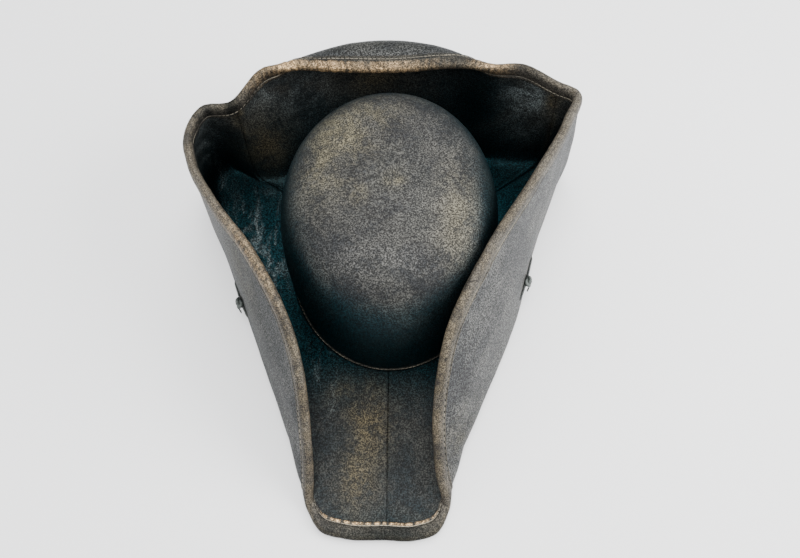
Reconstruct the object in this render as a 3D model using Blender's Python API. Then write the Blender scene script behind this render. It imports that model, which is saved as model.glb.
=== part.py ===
"""Three-cornered pirate hat, built in the layers it is sewn from.

Frame: the origin is the centre of the head opening on the plane that the hat rests on,
+Z is up and the front point lies toward -Y. Left and right are as seen from the front,
so left is -X. Dimensions are in millimetres and become metres when a mesh is made.

The brim is one lofted surface. Named places round it (STATIONS) say where its flat floor
folds, where its rim ends, and how far the wall between them bows and curls. Every layer
of the brim is an offset of that surface, so the layers nest without touching.
"""

import math
from collections import namedtuple

import bmesh
import bpy
import numpy as np

MM = 0.001
SHARP_ANGLE = math.radians(50)
TOUCH = 0.3  # clearance kept between sewn neighbours

# ---- crown -------------------------------------------------------------------------
HEAD_HALF_WIDTH = 86.0
HEAD_HALF_LENGTH = 104.0
CROWN_HEIGHT = 137.0
CROWN_SQUARENESS = 5.0  # exponent of the side profile: 2 is a dome, larger is boxier
CROWN_BULGE = 0.03
CROWN_FOOT = 0.5
CROWN_SKIN = 0.9
CROWN_STIFFENER = 1.8
LINING = 0.5
SWEATBAND_THICKNESS = 1.2
SWEATBAND_HEIGHT = 32.0
CROWN_SPOKES = 32
CROWN_RINGS = 8

# ---- brim layers -------------------------------------------------------------------
SKIN = 0.8
FOAM = 2.0
LAYER_GAP = 0.5  # room between the curved layers
HALF_STACK = FOAM / 2 + LAYER_GAP + SKIN
BRIM_LAYERS = {
    "under": (-HALF_STACK, -HALF_STACK + SKIN),
    "core": (-FOAM / 2, FOAM / 2),
    "top": (HALF_STACK - SKIN, HALF_STACK),
}
OPENING_EASE = 1.2  # the brim's inner edge clears the crown by this much
FOLD_SHARE = 0.42  # share of the floor's width that the soft fold takes up
WALL_SHARE = 0.6  # and the share of the wall's height that it may take up
FOLD_LIMIT = 38.0
FLOOR_SHARE = 0.4  # where the floor's own control point lies between crown and fold
WALL_SHARES = (0.3, 0.6, 0.85)  # where the wall's three control points lie between fold and rim
BOW_SHARES = (1.0, 0.6, 0.2)  # how much of the bow each of them takes
CURL_SHARES = (0.5, 1.0, 0.7)  # and how much of the curl
CREST_RISE = 0.8  # the crest of a curled rim rises by this share of its curl
SEAM_HALF_GAP = 0.6
PANEL_COLUMNS = {"right": 24, "back": 18, "left": 25}
TURN_WEIGHT = 36.0  # millimetres of run that a turn of one radian counts for
FLOOR_AND_WALL_ROWS = (0.0, 0.15, 0.32, 0.43, 0.53, 0.64, 0.77, 0.89, 1.0)

# ---- bound edge --------------------------------------------------------------------
BINDING_DEPTH = 8.0
EDGE_ROLL = 4.2  # how far the rolled edge stands beyond the layers
BINDING_HALF = 3.7
BINDING_SKIN = 0.9
BINDING_GAP = 0.7  # room between the layers and the binding folded over them
ROLL_SHOULDER = 0.72  # where the roll's outline has its middle corners, out and across
ROLL_SHOULDER_INSIDE = 0.62  # and across, on its inner face
WIRE_RADIUS = 0.6
WIRE_INSET = 1.6  # wire centre, beyond the edge of the layers
WIRE_SIDES = 6
WIRE_HALF_BREAK = 0.5  # half the space between the wire's two ends
FERRULE_RADII = (0.9, 1.2)
FERRULE_HALF_LENGTH = 4.0
FERRULE_SIDES = 8

# ---- ties --------------------------------------------------------------------------
THONG_WIDTH = 4.6
THONG_THICKNESS = 1.4
THONG_STEPS = 4  # straight pieces between a slit and the knot
SLIT_WIDTH = 6.0
SLIT_LENGTH = 2.6
SLIT_DEPTH = 16.0
KNOT_HALF_SIZES = (4.6, 4.4, 3.6)  # along the strand, up the wall, and out from it
KNOT_SEGMENTS = 10
KNOT_RINGS = 8
Tie = namedtuple("Tie", "side back front knot height")
TIES = (  # where the slits and the knot lie along Y, and how high up the wall
    Tie("right", back=-5.0, front=-51.0, knot=-31.0, height=20.0),
    Tie("left", back=-29.0, front=-66.0, knot=-51.0, height=20.0),
)

# ---- the brim's shape --------------------------------------------------------------
Station = namedtuple("Station", "place fold rim bow curl", defaults=(0.0, 0.0))
STATIONS = (
    Station("front centre", fold=(-2, -223), rim=(-3, -239, 4.4)),
    Station("right toe", fold=(20, -221), rim=(22, -239, 4.5)),
    Station("right toe corner", fold=(35, -214), rim=(39, -232, 4.8)),
    Station("right toe side", fold=(42, -206), rim=(45, -218, 6.5)),
    Station("right lip", fold=(52, -192), rim=(38, -197, 20)),
    Station("right trough", fold=(61, -175), rim=(34, -170, 47), bow=1),
    Station("right throat", fold=(79, -133), rim=(39, -119, 98), bow=3),
    Station("right tie", fold=(107, -65), rim=(70, -53, 124), bow=3),
    Station("right gutter", fold=(127, 4), rim=(110, 11, 123), bow=2),
    Station("right shoulder", fold=(150, 64), rim=(143, 71, 117), bow=1),
    Station("right point", fold=(162, 97), rim=(151, 97, 115), bow=1),
    Station("right seam", fold=(147, 104), rim=(139, 105, 114)),
    Station("back right lobe", fold=(112, 106), rim=(109, 121, 118), bow=2),
    Station("back right dip", fold=(84, 110), rim=(85, 117, 120), bow=2, curl=8),
    Station("back right curl", fold=(50, 117), rim=(51, 114, 122), bow=6, curl=25),
    Station("back centre", fold=(0, 121), rim=(4, 109, 122), bow=8, curl=36),
    Station("back left curl", fold=(-48, 113), rim=(-48, 110, 122), bow=6, curl=30),
    Station("back left dip", fold=(-78, 98), rim=(-80, 113, 122), bow=4, curl=18),
    Station("back left lobe", fold=(-104, 86), rim=(-105, 113, 121), bow=3, curl=2),
    Station("left seam", fold=(-128, 86), rim=(-130, 94, 105), bow=1),
    Station("left lobe", fold=(-157, 97), rim=(-156, 90, 101), bow=1),
    Station("left point", fold=(-171, 75), rim=(-164, 68, 102), bow=1),
    Station("left shoulder", fold=(-162, 34), rim=(-158, 37, 104), bow=0),
    Station("left gutter", fold=(-142, -10), rim=(-133, -6, 113), bow=1),
    Station("left tie", fold=(-124, -57), rim=(-100, -49, 116), bow=3),
    Station("left throat", fold=(-97, -127), rim=(-66, -117, 92), bow=2),
    Station("left trough", fold=(-79, -176), rim=(-59, -170, 47), bow=1),
    Station("left lip", fold=(-69, -196), rim=(-59, -198, 19)),
    Station("left toe side", fold=(-60, -207), rim=(-61, -218, 6.5)),
    Station("left toe corner", fold=(-52, -215), rim=(-54, -231, 4.8)),
    Station("left toe", fold=(-32, -222), rim=(-34, -238, 4.5)),
)
SEAMS = ("front centre", "right seam", "left seam")

# ---- finishes: colour, roughness, metallic -----------------------------------------
FINISHES = {
    "suede": ((0.085, 0.075, 0.065), 0.62, 0.35),
    "suede_outer": ((0.075, 0.072, 0.070), 0.60, 0.35),
    "binding": ((0.16, 0.13, 0.10), 0.55, 0.40),
    "foam": ((0.05, 0.05, 0.05), 0.90, 0.0),
    "lining": ((0.02, 0.02, 0.022), 0.75, 0.0),
    "sweatband": ((0.03, 0.03, 0.03), 0.80, 0.0),
    "thong": ((0.11, 0.11, 0.10), 0.65, 0.20),
    "steel": ((0.55, 0.55, 0.56), 0.30, 1.0),
}


def clear_scene():
    """Remove whatever the file opened with."""
    for obj in list(bpy.data.objects):
        bpy.data.objects.remove(obj, do_unlink=True)


def finish(name):
    """The material of one finish, made once."""
    material = bpy.data.materials.get(name)
    if material is None:
        colour, roughness, metallic = FINISHES[name]
        material = bpy.data.materials.new(name)
        material.use_nodes = True
        shader = material.node_tree.nodes["Principled BSDF"]
        shader.inputs["Base Color"].default_value = (*colour, 1.0)
        shader.inputs["Roughness"].default_value = roughness
        shader.inputs["Metallic"].default_value = metallic
    return material


def solid(name, points, faces, finish_name):
    """An object named name from points in millimetres and faces, facing outward."""
    mesh = bpy.data.meshes.new(name)
    mesh.from_pydata([tuple(p * MM for p in point) for point in points], [], faces)
    shape = bmesh.new()
    shape.from_mesh(mesh)
    bmesh.ops.recalc_face_normals(shape, faces=shape.faces)
    shape.to_mesh(mesh)
    shape.free()
    mesh.shade_smooth()
    mesh.set_sharp_from_angle(angle=SHARP_ANGLE)
    mesh.materials.append(finish(finish_name))
    obj = bpy.data.objects.new(name, mesh)
    bpy.context.scene.collection.objects.link(obj)
    return obj


def unit(vectors):
    """Vectors scaled to length one along their last axis."""
    return vectors / np.linalg.norm(vectors, axis=-1, keepdims=True)


def angles_between(ways):
    """The angle from each unit vector to the next."""
    return np.arccos(np.clip((ways[1:] * ways[:-1]).sum(axis=1), -1.0, 1.0))


# ---- the lofted surface ------------------------------------------------------------
class Brim:
    """The brim's middle surface, from the crown outward to the rim."""

    CONTROLS = 9
    CURVE_STEPS = 60
    NUDGE = 0.5

    def __init__(self):
        self.folds = np.array([s.fold for s in STATIONS], float)
        self.rims = np.array([s.rim for s in STATIONS], float)
        self.shaping = np.array([(s.bow, s.curl) for s in STATIONS], float)
        middles = (self.folds + self.rims[:, :2]) / 2
        steps = np.linalg.norm(np.roll(middles, -1, 0) - middles, axis=1)
        self.knots = np.concatenate([[0.0], np.cumsum(steps)])
        self.length = self.knots[-1]
        self.weights = self.bspline_weights(self.CONTROLS, self.CURVE_STEPS)

    @staticmethod
    def bspline_weights(count, steps):
        """Weights of a clamped cubic B-spline's control points at even steps."""
        degree = 3
        inner = np.linspace(0, 1, count - degree + 1)
        knots = np.concatenate([[0.0] * degree, inner, [1.0] * degree])
        where = np.linspace(0, 1, steps + 1)
        basis = [(knots[i] <= where) & (where < knots[i + 1]) for i in range(len(knots) - 1)]
        basis = np.array(basis, float)
        basis[count - 1, -1] = 1.0
        for order in range(1, degree + 1):
            raised = np.zeros((len(basis) - 1, len(where)))
            for i in range(len(raised)):
                rise = knots[i + order] - knots[i]
                fall = knots[i + order + 1] - knots[i + 1]
                if rise > 0:
                    raised[i] += (where - knots[i]) / rise * basis[i]
                if fall > 0:
                    raised[i] += (knots[i + order + 1] - where) / fall * basis[i + 1]
            basis = raised
        return basis.T

    def where(self, place):
        """Distance round the brim to a named station."""
        names = [station.place for station in STATIONS]
        return self.knots[names.index(place)]

    def between_stations(self, values, distance):
        """Smooth closed curve through one value per station, read at a distance round."""
        distance = distance % self.length
        count = len(values)
        i = min(int(np.searchsorted(self.knots, distance, side="right")) - 1, count - 1)
        span = self.knots[i + 1] - self.knots[i]
        before = self.knots[i] - self.knots[i - 1] if i else self.knots[-1] - self.knots[-2]
        after = self.knots[i + 2] - self.knots[i + 1] if i + 2 <= count else self.knots[1]
        a, b = values[i - 1], values[i]
        c, d = values[(i + 1) % count], values[(i + 2) % count]
        rise = (c - b) / span
        leave = ((b - a) / before * span + rise * before) / (before + span)
        arrive = (rise * after + (d - c) / after * span) / (after + span)
        t = (distance - self.knots[i]) / span
        return (
            (2 * t**3 - 3 * t**2 + 1) * b
            + (t**3 - 2 * t**2 + t) * span * leave
            + (3 * t**2 - 2 * t**3) * c
            + (t**3 - t**2) * span * arrive
        )

    def profile(self, distance):
        """Points from the crown to the rim at one distance round the brim."""
        fold_xy = self.between_stations(self.folds, distance)
        rim = self.between_stations(self.rims, distance)
        bow, curl = self.between_stations(self.shaping, distance)
        ahead = self.between_stations(self.folds, distance + self.NUDGE)
        along = unit(ahead - fold_xy)
        outward = np.array([along[1], -along[0], 0.0])
        half_sizes = np.array([HEAD_HALF_WIDTH, HEAD_HALF_LENGTH]) + OPENING_EASE
        foot_xy = unit(fold_xy / half_sizes) * half_sizes
        foot = np.array([*foot_xy, HALF_STACK])
        fold = np.array([*fold_xy, HALF_STACK])
        reach = fold - foot
        wall = rim - fold
        most = [FOLD_SHARE * np.linalg.norm(reach), WALL_SHARE * np.linalg.norm(wall), FOLD_LIMIT]
        turn = min(most)
        above = fold + turn * unit(wall)
        rest = rim - above
        crest = np.array([0.0, 0.0, CREST_RISE * curl])
        controls = [foot, foot + FLOOR_SHARE * reach, fold - turn * unit(reach), fold, above]
        lifts = (0.0 * crest, crest, crest)
        for share, bowed, curled, lift in zip(WALL_SHARES, BOW_SHARES, CURL_SHARES, lifts):
            controls.append(above + share * rest + (bowed * bow + curled * curl) * outward + lift)
        controls.append(rim)
        return self.weights @ np.array(controls)

    def column(self, distance):
        """Rows of points at one distance round, ending at the edge of the layers.

        The last interval is as deep as the binding. Returns the rows, and the way on
        from the last row toward the rim.
        """
        curve = self.profile(distance)
        run = np.concatenate([[0.0], np.cumsum(np.linalg.norm(np.diff(curve, axis=0), axis=1))])
        last = run[-1] - EDGE_ROLL
        steps = np.linspace(0.0, 1.0, len(curve))
        lip_step = np.interp(last - BINDING_DEPTH, run, steps)
        runs = [np.interp(share * lip_step, steps, run) for share in FLOOR_AND_WALL_ROWS]
        runs.append(last)
        rows = np.array([[np.interp(r, run, curve[:, axis]) for axis in range(3)] for r in runs])
        return rows, unit(curve[-1] - rows[-1])

    def frame(self, distance):
        """Rows, upper-face normals and the way on at the rim, at one distance round."""
        rows, onward = self.column(distance)
        before, _ = self.column(distance - self.NUDGE)
        after, _ = self.column(distance + self.NUDGE)
        outward = np.gradient(rows, axis=0)
        outward[-1] = onward
        return rows, unit(np.cross(outward, after - before)), onward

    def wall_point(self, distance, height):
        """A point on the wall at a height, its inward normal and the way up the wall."""
        def at(along, level):
            curve = self.profile(along)
            rising = curve[np.argmax(curve[:, 2] > HALF_STACK + self.NUDGE):]
            return np.array([np.interp(level, rising[:, 2], rising[:, axis]) for axis in range(3)])

        upward = unit(at(distance, height + 1.0) - at(distance, height - 1.0))
        onward = unit(at(distance + 1.0, height) - at(distance - 1.0, height))
        return at(distance, height), unit(np.cross(upward, onward)), upward

    def distance_beside(self, side, y):
        """Distance round the brim where the fold of one side passes a place along Y."""
        seam = self.where(f"{side} seam")
        span = (0.0, seam) if side == "right" else (self.length, seam)
        fine = np.linspace(*span, 400)
        folds = [self.between_stations(self.folds, distance)[1] for distance in fine]
        return float(np.interp(y, folds, fine))

    def panel_distances(self, start, end, columns):
        """Distances round the brim of one panel's columns, clear of its two seams.

        Columns stand closer together where the fold or the rim turns.
        """
        first = self.where(start) + SEAM_HALF_GAP
        last = (self.where(end) or self.length) - SEAM_HALF_GAP
        fine = np.linspace(first, last, 8 * columns)
        lines = [[self.between_stations(line, d) for d in fine] for line in (self.folds, self.rims)]
        cost = np.zeros(len(fine))
        for line in lines:
            steps = np.diff(np.array(line), axis=0)
            cost[1:] += np.linalg.norm(steps, axis=1)
            cost[1:-1] += TURN_WEIGHT * angles_between(unit(steps))
        edges = np.array([self.column(distance)[1] for distance in fine])
        cost[1:] += TURN_WEIGHT * angles_between(edges)
        spent = np.cumsum(cost)
        return np.interp(np.linspace(0.0, spent[-1], columns + 1), spent, fine)


def grid_faces(columns, rows):
    """Triangles of a grid of points listed column by column, all split the same way."""
    faces = []
    for i in range(columns - 1):
        for k in range(rows - 1):
            a, b = i * rows + k, (i + 1) * rows + k
            faces += [(a, b, b + 1), (a, b + 1, a + 1)]
    return faces


def layer_solid(name, frames, low, high, finish_name):
    """A closed sheet between two offsets of the brim's middle surface."""
    rows = len(frames[0][0])
    columns = len(frames)
    bottom = [p + low * n for points, normals, _ in frames for p, n in zip(points, normals)]
    top = [p + high * n for points, normals, _ in frames for p, n in zip(points, normals)]
    size = len(bottom)
    grid = grid_faces(columns, rows)
    faces = grid + [tuple(i + size for i in reversed(face)) for face in grid]
    border = [k for k in range(rows)]
    border += [i * rows + rows - 1 for i in range(1, columns)]
    border += [(columns - 1) * rows + k for k in range(rows - 2, -1, -1)]
    border += [i * rows for i in range(columns - 2, 0, -1)]
    for here, there in zip(border, border[1:] + border[:1]):
        faces += [(here, there, there + size), (here, there + size, here + size)]
    return solid(name, bottom + top, faces, finish_name)


def ring_solid(name, sections, finish_name, closed=True, flipped=()):
    """A tube through sections of equal point counts, a closed loop or with flat ends.

    Sides listed in flipped split their quads along the other diagonal.
    """
    sides = len(sections[0])
    points = [point for section in sections for point in section]
    faces = []
    for i in range(len(sections) if closed else len(sections) - 1):
        j = (i + 1) % len(sections)
        for k in range(sides):
            m = (k + 1) % sides
            a, b, c, d = i * sides + k, j * sides + k, j * sides + m, i * sides + m
            faces += [(a, b, d), (b, c, d)] if k in flipped else [(a, b, c), (a, c, d)]
    if not closed:
        faces.append(tuple(range(sides)))
        faces.append(tuple(reversed(range(len(points) - sides, len(points)))))
    return solid(name, points, faces, finish_name)


# ---- sub-parts ---------------------------------------------------------------------
def dome_points(inset, foot):
    """Rings of a blocked crown, drawn in by inset, and its middle point on top."""
    width, length = HEAD_HALF_WIDTH - inset, HEAD_HALF_LENGTH - inset
    height = CROWN_HEIGHT - inset
    turn = np.linspace(0.0, math.pi / 2, 400)
    radius = np.cos(turn) ** (2 / CROWN_SQUARENESS)
    rise = height * np.sin(turn) ** (2 / CROWN_SQUARENESS)
    run = np.concatenate([[0.0], np.cumsum(np.hypot(np.diff(radius * width), np.diff(rise)))])
    start = np.interp(foot, rise, run)
    at = start + (run[-1] - start) * np.arange(CROWN_RINGS) / CROWN_RINGS
    rings = []
    for share, z in zip(np.interp(at, run, radius), np.interp(at, run, rise)):
        share *= 1 + CROWN_BULGE * math.sin(math.pi * z / height)
        spokes = np.arange(CROWN_SPOKES) * 2 * math.pi / CROWN_SPOKES
        rings += [(share * width * math.cos(s), share * length * math.sin(s), z) for s in spokes]
    return rings, (0.0, 0.0, height)


def dome_solid(name, outer_inset, inner_inset, finish_name):
    """A thick dome, open at the bottom."""
    points, faces = [], []
    for inset in (outer_inset, inner_inset):
        rings, top = dome_points(inset, CROWN_FOOT)
        base = len(points)
        points += rings + [top]
        for ring in range(CROWN_RINGS - 1):
            for i in range(CROWN_SPOKES):
                j = (i + 1) % CROWN_SPOKES
                a, b = base + ring * CROWN_SPOKES + i, base + ring * CROWN_SPOKES + j
                faces += [(a, b, b + CROWN_SPOKES), (a, b + CROWN_SPOKES, a + CROWN_SPOKES)]
        last = base + (CROWN_RINGS - 1) * CROWN_SPOKES
        tip = len(points) - 1
        faces += [(last + i, last + (i + 1) % CROWN_SPOKES, tip) for i in range(CROWN_SPOKES)]
    step = CROWN_RINGS * CROWN_SPOKES + 1
    for i in range(CROWN_SPOKES):
        j = (i + 1) % CROWN_SPOKES
        faces += [(i, j, j + step), (i, j + step, i + step)]
    return solid(name, points, faces, finish_name)


def build_crown():
    """The crown's outer fabric, stiffener and lining, and the sweatband inside them."""
    inset = 0.0
    for name, thickness, finish_name in (
        ("crown_shell", CROWN_SKIN, "suede"),
        ("crown_stiffener", CROWN_STIFFENER, "foam"),
        ("crown_lining", LINING, "lining"),
    ):
        dome_solid(name, inset, inset + thickness, finish_name)
        inset += thickness + TOUCH
    sections = []
    for i in range(CROWN_SPOKES):
        turn = 2 * math.pi * i / CROWN_SPOKES
        section = []
        for depth, z in (
            (inset, CROWN_FOOT),
            (inset, SWEATBAND_HEIGHT),
            (inset + SWEATBAND_THICKNESS, SWEATBAND_HEIGHT),
            (inset + SWEATBAND_THICKNESS, CROWN_FOOT),
        ):
            width, length = HEAD_HALF_WIDTH - depth, HEAD_HALF_LENGTH - depth
            section.append((width * math.cos(turn), length * math.sin(turn), z))
        sections.append(section)
    ring_solid("sweatband", sections, "sweatband")


def build_brim(brim):
    """The three panels of the brim, each an upper skin, a foam core and an under skin."""
    ends = SEAMS[1:] + SEAMS[:1]
    skins = {"under": "suede_outer", "core": "foam", "top": "suede"}
    panels = {}
    for (side, columns), start, end in zip(PANEL_COLUMNS.items(), SEAMS, ends):
        distances = brim.panel_distances(start, end, columns)
        frames = [brim.frame(distance) for distance in distances]
        for layer, (low, high) in BRIM_LAYERS.items():
            name = f"brim_{layer}_{side}"
            panels[layer, side] = layer_solid(name, frames, low, high, skins[layer])
    return panels


def edge_frames(brim):
    """Frames for the pieces that run round the whole rim, one on each panel column."""
    ends = SEAMS[1:] + SEAMS[:1]
    distances = []
    for (side, columns), start, end in zip(PANEL_COLUMNS.items(), SEAMS, ends):
        distances += list(brim.panel_distances(start, end, columns))
    return [brim.frame(distance) for distance in distances]


def build_edge(brim):
    """The binding folded over the rim, and the wire and ferrule inside its roll."""
    frames = edge_frames(brim)
    inner = HALF_STACK + BINDING_GAP
    nose = EDGE_ROLL - BINDING_SKIN
    sections, centres = [], []
    for points, normals, onward in frames:
        lip, edge = points[-2], points[-1]
        lip_normal, edge_normal = normals[-2], normals[-1]

        def at(beyond, offset):
            return edge + beyond * onward + offset * edge_normal

        sections.append([
            lip - BINDING_HALF * lip_normal,
            at(0.0, -BINDING_HALF),
            at(ROLL_SHOULDER * EDGE_ROLL, -ROLL_SHOULDER * BINDING_HALF),
            at(EDGE_ROLL, 0.0),
            at(ROLL_SHOULDER * EDGE_ROLL, ROLL_SHOULDER * BINDING_HALF),
            at(0.0, BINDING_HALF),
            lip + BINDING_HALF * lip_normal,
            lip + inner * lip_normal,
            at(0.0, inner),
            at(ROLL_SHOULDER * nose, ROLL_SHOULDER_INSIDE * inner),
            at(nose, 0.0),
            at(ROLL_SHOULDER * nose, -ROLL_SHOULDER_INSIDE * inner),
            at(0.0, -inner),
            lip - inner * lip_normal,
        ])
        centres.append((edge + WIRE_INSET * onward, edge_normal, onward))
    inner_and_outer_seats = (5, 12)  # these two sides follow the split of the layers under them
    ring_solid("edge_binding", sections, "binding", flipped=inner_and_outer_seats)
    build_wire(centres)


def circle(centre, across, up, radius, sides):
    """Points of a circle round centre in the plane of across and up."""
    turns = np.arange(sides) * 2 * math.pi / sides
    return [centre + radius * (math.cos(t) * across + math.sin(t) * up) for t in turns]


def build_wire(centres):
    """The brim wire, open at the back centre, where a crimped ferrule joins its ends."""
    columns = PANEL_COLUMNS["right"] + 1 + PANEL_COLUMNS["back"] // 2
    here, there = centres[columns], centres[columns + 1]
    chord = there[0] - here[0]
    middle = here[0] + chord / 2
    way = unit(chord)
    across = unit(np.cross(way, here[1] + there[1]))
    up = np.cross(across, way)
    ordered = centres[columns + 1:] + centres[:columns + 1]
    sections = [circle(middle + WIRE_HALF_BREAK * way, across, up, WIRE_RADIUS, WIRE_SIDES)]
    for centre, normal, onward in ordered:
        side = unit(np.cross(normal, onward))
        outward = unit(np.cross(side, normal))
        sections.append(circle(centre, outward, normal, WIRE_RADIUS, WIRE_SIDES))
    sections.append(circle(middle - WIRE_HALF_BREAK * way, across, up, WIRE_RADIUS, WIRE_SIDES))
    ring_solid("edge_wire", sections, "steel", closed=False)
    rings = []
    bore, outside = FERRULE_RADII
    for along, radius in (
        (-FERRULE_HALF_LENGTH, outside),
        (FERRULE_HALF_LENGTH, outside),
        (FERRULE_HALF_LENGTH, bore),
        (-FERRULE_HALF_LENGTH, bore),
    ):
        rings.append(circle(middle + along * way, across, up, radius, FERRULE_SIDES))
    ring_solid("wire_ferrule", rings, "steel")


def strand_point(brim, distance, height, offset):
    """A point off the wall's middle surface, inward for a positive offset."""
    point, normal, _ = brim.wall_point(distance, height)
    return point + offset * normal


def thong_path(brim, tie):
    """Corners of a thong's path, from one side of the knot round through both slits."""
    clear = HALF_STACK + TOUCH + THONG_THICKNESS / 2
    crest = HALF_STACK + TOUCH + KNOT_HALF_SIZES[2]
    ends = [brim.distance_beside(tie.side, y) for y in (tie.back, tie.front)]
    knot = brim.distance_beside(tie.side, tie.knot)
    path = []
    for i, slit in enumerate(ends):
        way = math.copysign(1.0, slit - knot)
        start = knot + way * (KNOT_HALF_SIZES[0] + 2 * TOUCH)
        outside = []
        for step in range(THONG_STEPS + 1):
            share = step / THONG_STEPS
            lift = crest + (clear - crest) * math.sin(share * math.pi / 2)
            outside.append(strand_point(brim, start + share * (slit - start), tie.height, -lift))
        path.append(outside if i == 0 else outside[::-1])
    inside = [
        strand_point(brim, distance, tie.height, clear + LAYER_GAP)
        for distance in np.linspace(*ends, THONG_STEPS + 1)
    ]
    return np.array(path[0] + inside + path[1])


def build_tie(brim, tie, panels):
    """One tie: a thong through two slits of the wall, and the knot that closes it."""
    distance = brim.distance_beside(tie.side, tie.knot)
    centre, normal, upward = brim.wall_point(distance, tie.height)
    path = thong_path(brim, tie)
    ways = unit(np.diff(path, axis=0))
    sections = []
    for i, point in enumerate(path):
        before, after = ways[max(i - 1, 0)], ways[min(i, len(ways) - 1)]
        across = [unit(np.cross(way, upward)) for way in (before, after)]
        mitre = unit(across[0] + across[1])
        mitre /= mitre @ across[0]
        side = THONG_WIDTH / 2 * upward
        depth = THONG_THICKNESS / 2 * mitre
        corners = ((1, 1), (-1, 1), (-1, -1), (1, -1))
        sections.append([point + x * side + y * depth for x, y in corners])
    ring_solid(f"{tie.side}_tie_thong", sections, "thong", closed=False)
    along = unit(np.cross(upward, normal))
    axes = np.array([along, upward, normal])
    shape = bmesh.new()
    bmesh.ops.create_uvsphere(shape, u_segments=KNOT_SEGMENTS, v_segments=KNOT_RINGS, radius=1.0)
    offset = HALF_STACK + TOUCH + KNOT_HALF_SIZES[2]
    middle = centre - offset * normal
    points = [np.array(v.co) * KNOT_HALF_SIZES @ axes + middle for v in shape.verts]
    faces = [tuple(v.index for v in face.verts) for face in shape.faces]
    shape.free()
    solid(f"{tie.side}_tie_knot", points, faces, "thong")
    for end, y in (("back", tie.back), ("front", tie.front)):
        cut_slit(brim, f"{tie.side}_slit_{end}", brim.distance_beside(tie.side, y), tie, panels)


def cut_slit(brim, name, distance, tie, panels):
    """Punch one slit for a thong through the three layers of a side panel."""
    centre, normal, upward = brim.wall_point(distance, tie.height)
    along = unit(np.cross(upward, normal))
    corners = []
    for z in (-1, 1):
        for x, y in ((-1, -1), (1, -1), (1, 1), (-1, 1)):
            offset = x * SLIT_LENGTH * along + y * SLIT_WIDTH * upward + z * SLIT_DEPTH * normal
            corners.append(centre + offset / 2)
    faces = [(0, 3, 2, 1), (4, 5, 6, 7), (0, 1, 5, 4), (1, 2, 6, 5), (2, 3, 7, 6), (3, 0, 4, 7)]
    cutter = solid(name, corners, faces, "thong")
    cutter.hide_render = True
    cutter.display_type = "WIRE"
    for layer in BRIM_LAYERS:
        slit = panels[layer, tie.side].modifiers.new(name, "BOOLEAN")
        slit.operation = "DIFFERENCE"
        slit.solver = "EXACT"
        slit.object = cutter


def main():
    clear_scene()
    brim = Brim()
    build_crown()
    panels = build_brim(brim)
    build_edge(brim)
    for tie in TIES:
        build_tie(brim, tie, panels)


main()
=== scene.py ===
"""The looks of the three-cornered pirate hat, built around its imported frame.

Lengths in the classes are millimetres and become metres when a mesh is made. The axes are the
frame's: +Z up, the front point toward -Y, and left, as seen from the front, at -X.
Each sub-assembly is a class that holds its sizes and makes its meshes: the crown, the brim's
sheets, the bound edge, the stitching, the ties and the sweatband. Each finish is a frozen
class that builds one node material.
"""

from __future__ import annotations

import logging
import math
from dataclasses import dataclass
from enum import Enum
from typing import Any, Callable, Mapping, NamedTuple, Sequence, Union

import bpy
import numpy as np
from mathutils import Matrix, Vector, noise
from mathutils.bvhtree import BVHTree


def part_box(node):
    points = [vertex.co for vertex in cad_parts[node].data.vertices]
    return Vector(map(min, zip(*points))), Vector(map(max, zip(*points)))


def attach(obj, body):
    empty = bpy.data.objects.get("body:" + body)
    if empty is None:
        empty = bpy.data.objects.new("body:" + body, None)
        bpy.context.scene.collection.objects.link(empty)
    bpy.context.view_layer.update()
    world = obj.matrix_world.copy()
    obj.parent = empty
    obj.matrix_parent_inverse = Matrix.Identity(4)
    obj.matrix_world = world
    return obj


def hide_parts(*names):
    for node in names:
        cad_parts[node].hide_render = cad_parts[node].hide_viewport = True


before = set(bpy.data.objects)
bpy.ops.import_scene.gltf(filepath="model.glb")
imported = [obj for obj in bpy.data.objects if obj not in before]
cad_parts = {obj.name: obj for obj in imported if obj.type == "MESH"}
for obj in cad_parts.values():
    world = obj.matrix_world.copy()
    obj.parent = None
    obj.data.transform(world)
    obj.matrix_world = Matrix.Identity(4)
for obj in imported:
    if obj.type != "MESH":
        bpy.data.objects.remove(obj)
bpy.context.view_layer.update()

MM = 0.001
BODY = "root"
Colour = tuple[float, float, float]
Place = tuple[float, float, float]
Span = tuple[float, float]
log = logging.getLogger("pirate_hat")


class Side(Enum):
    """The brim's three sewn panels, in their order round the brim."""

    RIGHT = "right"
    BACK = "back"
    LEFT = "left"


class Face(Enum):
    """The two faces of the brim; the value is the sign of its normal."""

    TOP = 1
    UNDER = -1

    @property
    def layer(self) -> str:
        """The word for this face in the frame's node names."""
        return self.name.lower()


class Dye(Enum):
    """Colour marks kept as vertex attributes: tan stains, paler patches, painted shade, gold and
    smears.
    """

    TAN = "tan"
    # Paler patches; on the brim's inner back wall, its rear lobes and its outer right wall they are
    # painted light.
    PALE = "pale"
    # Painted shade: darkens the suede toward a teal-black where shade falls.
    DEEP = "deep"
    # Gold; along the front hem's flap and thread it is painted highlight.
    GOLD = "gold"
    SCUFF = "scuff"


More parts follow.
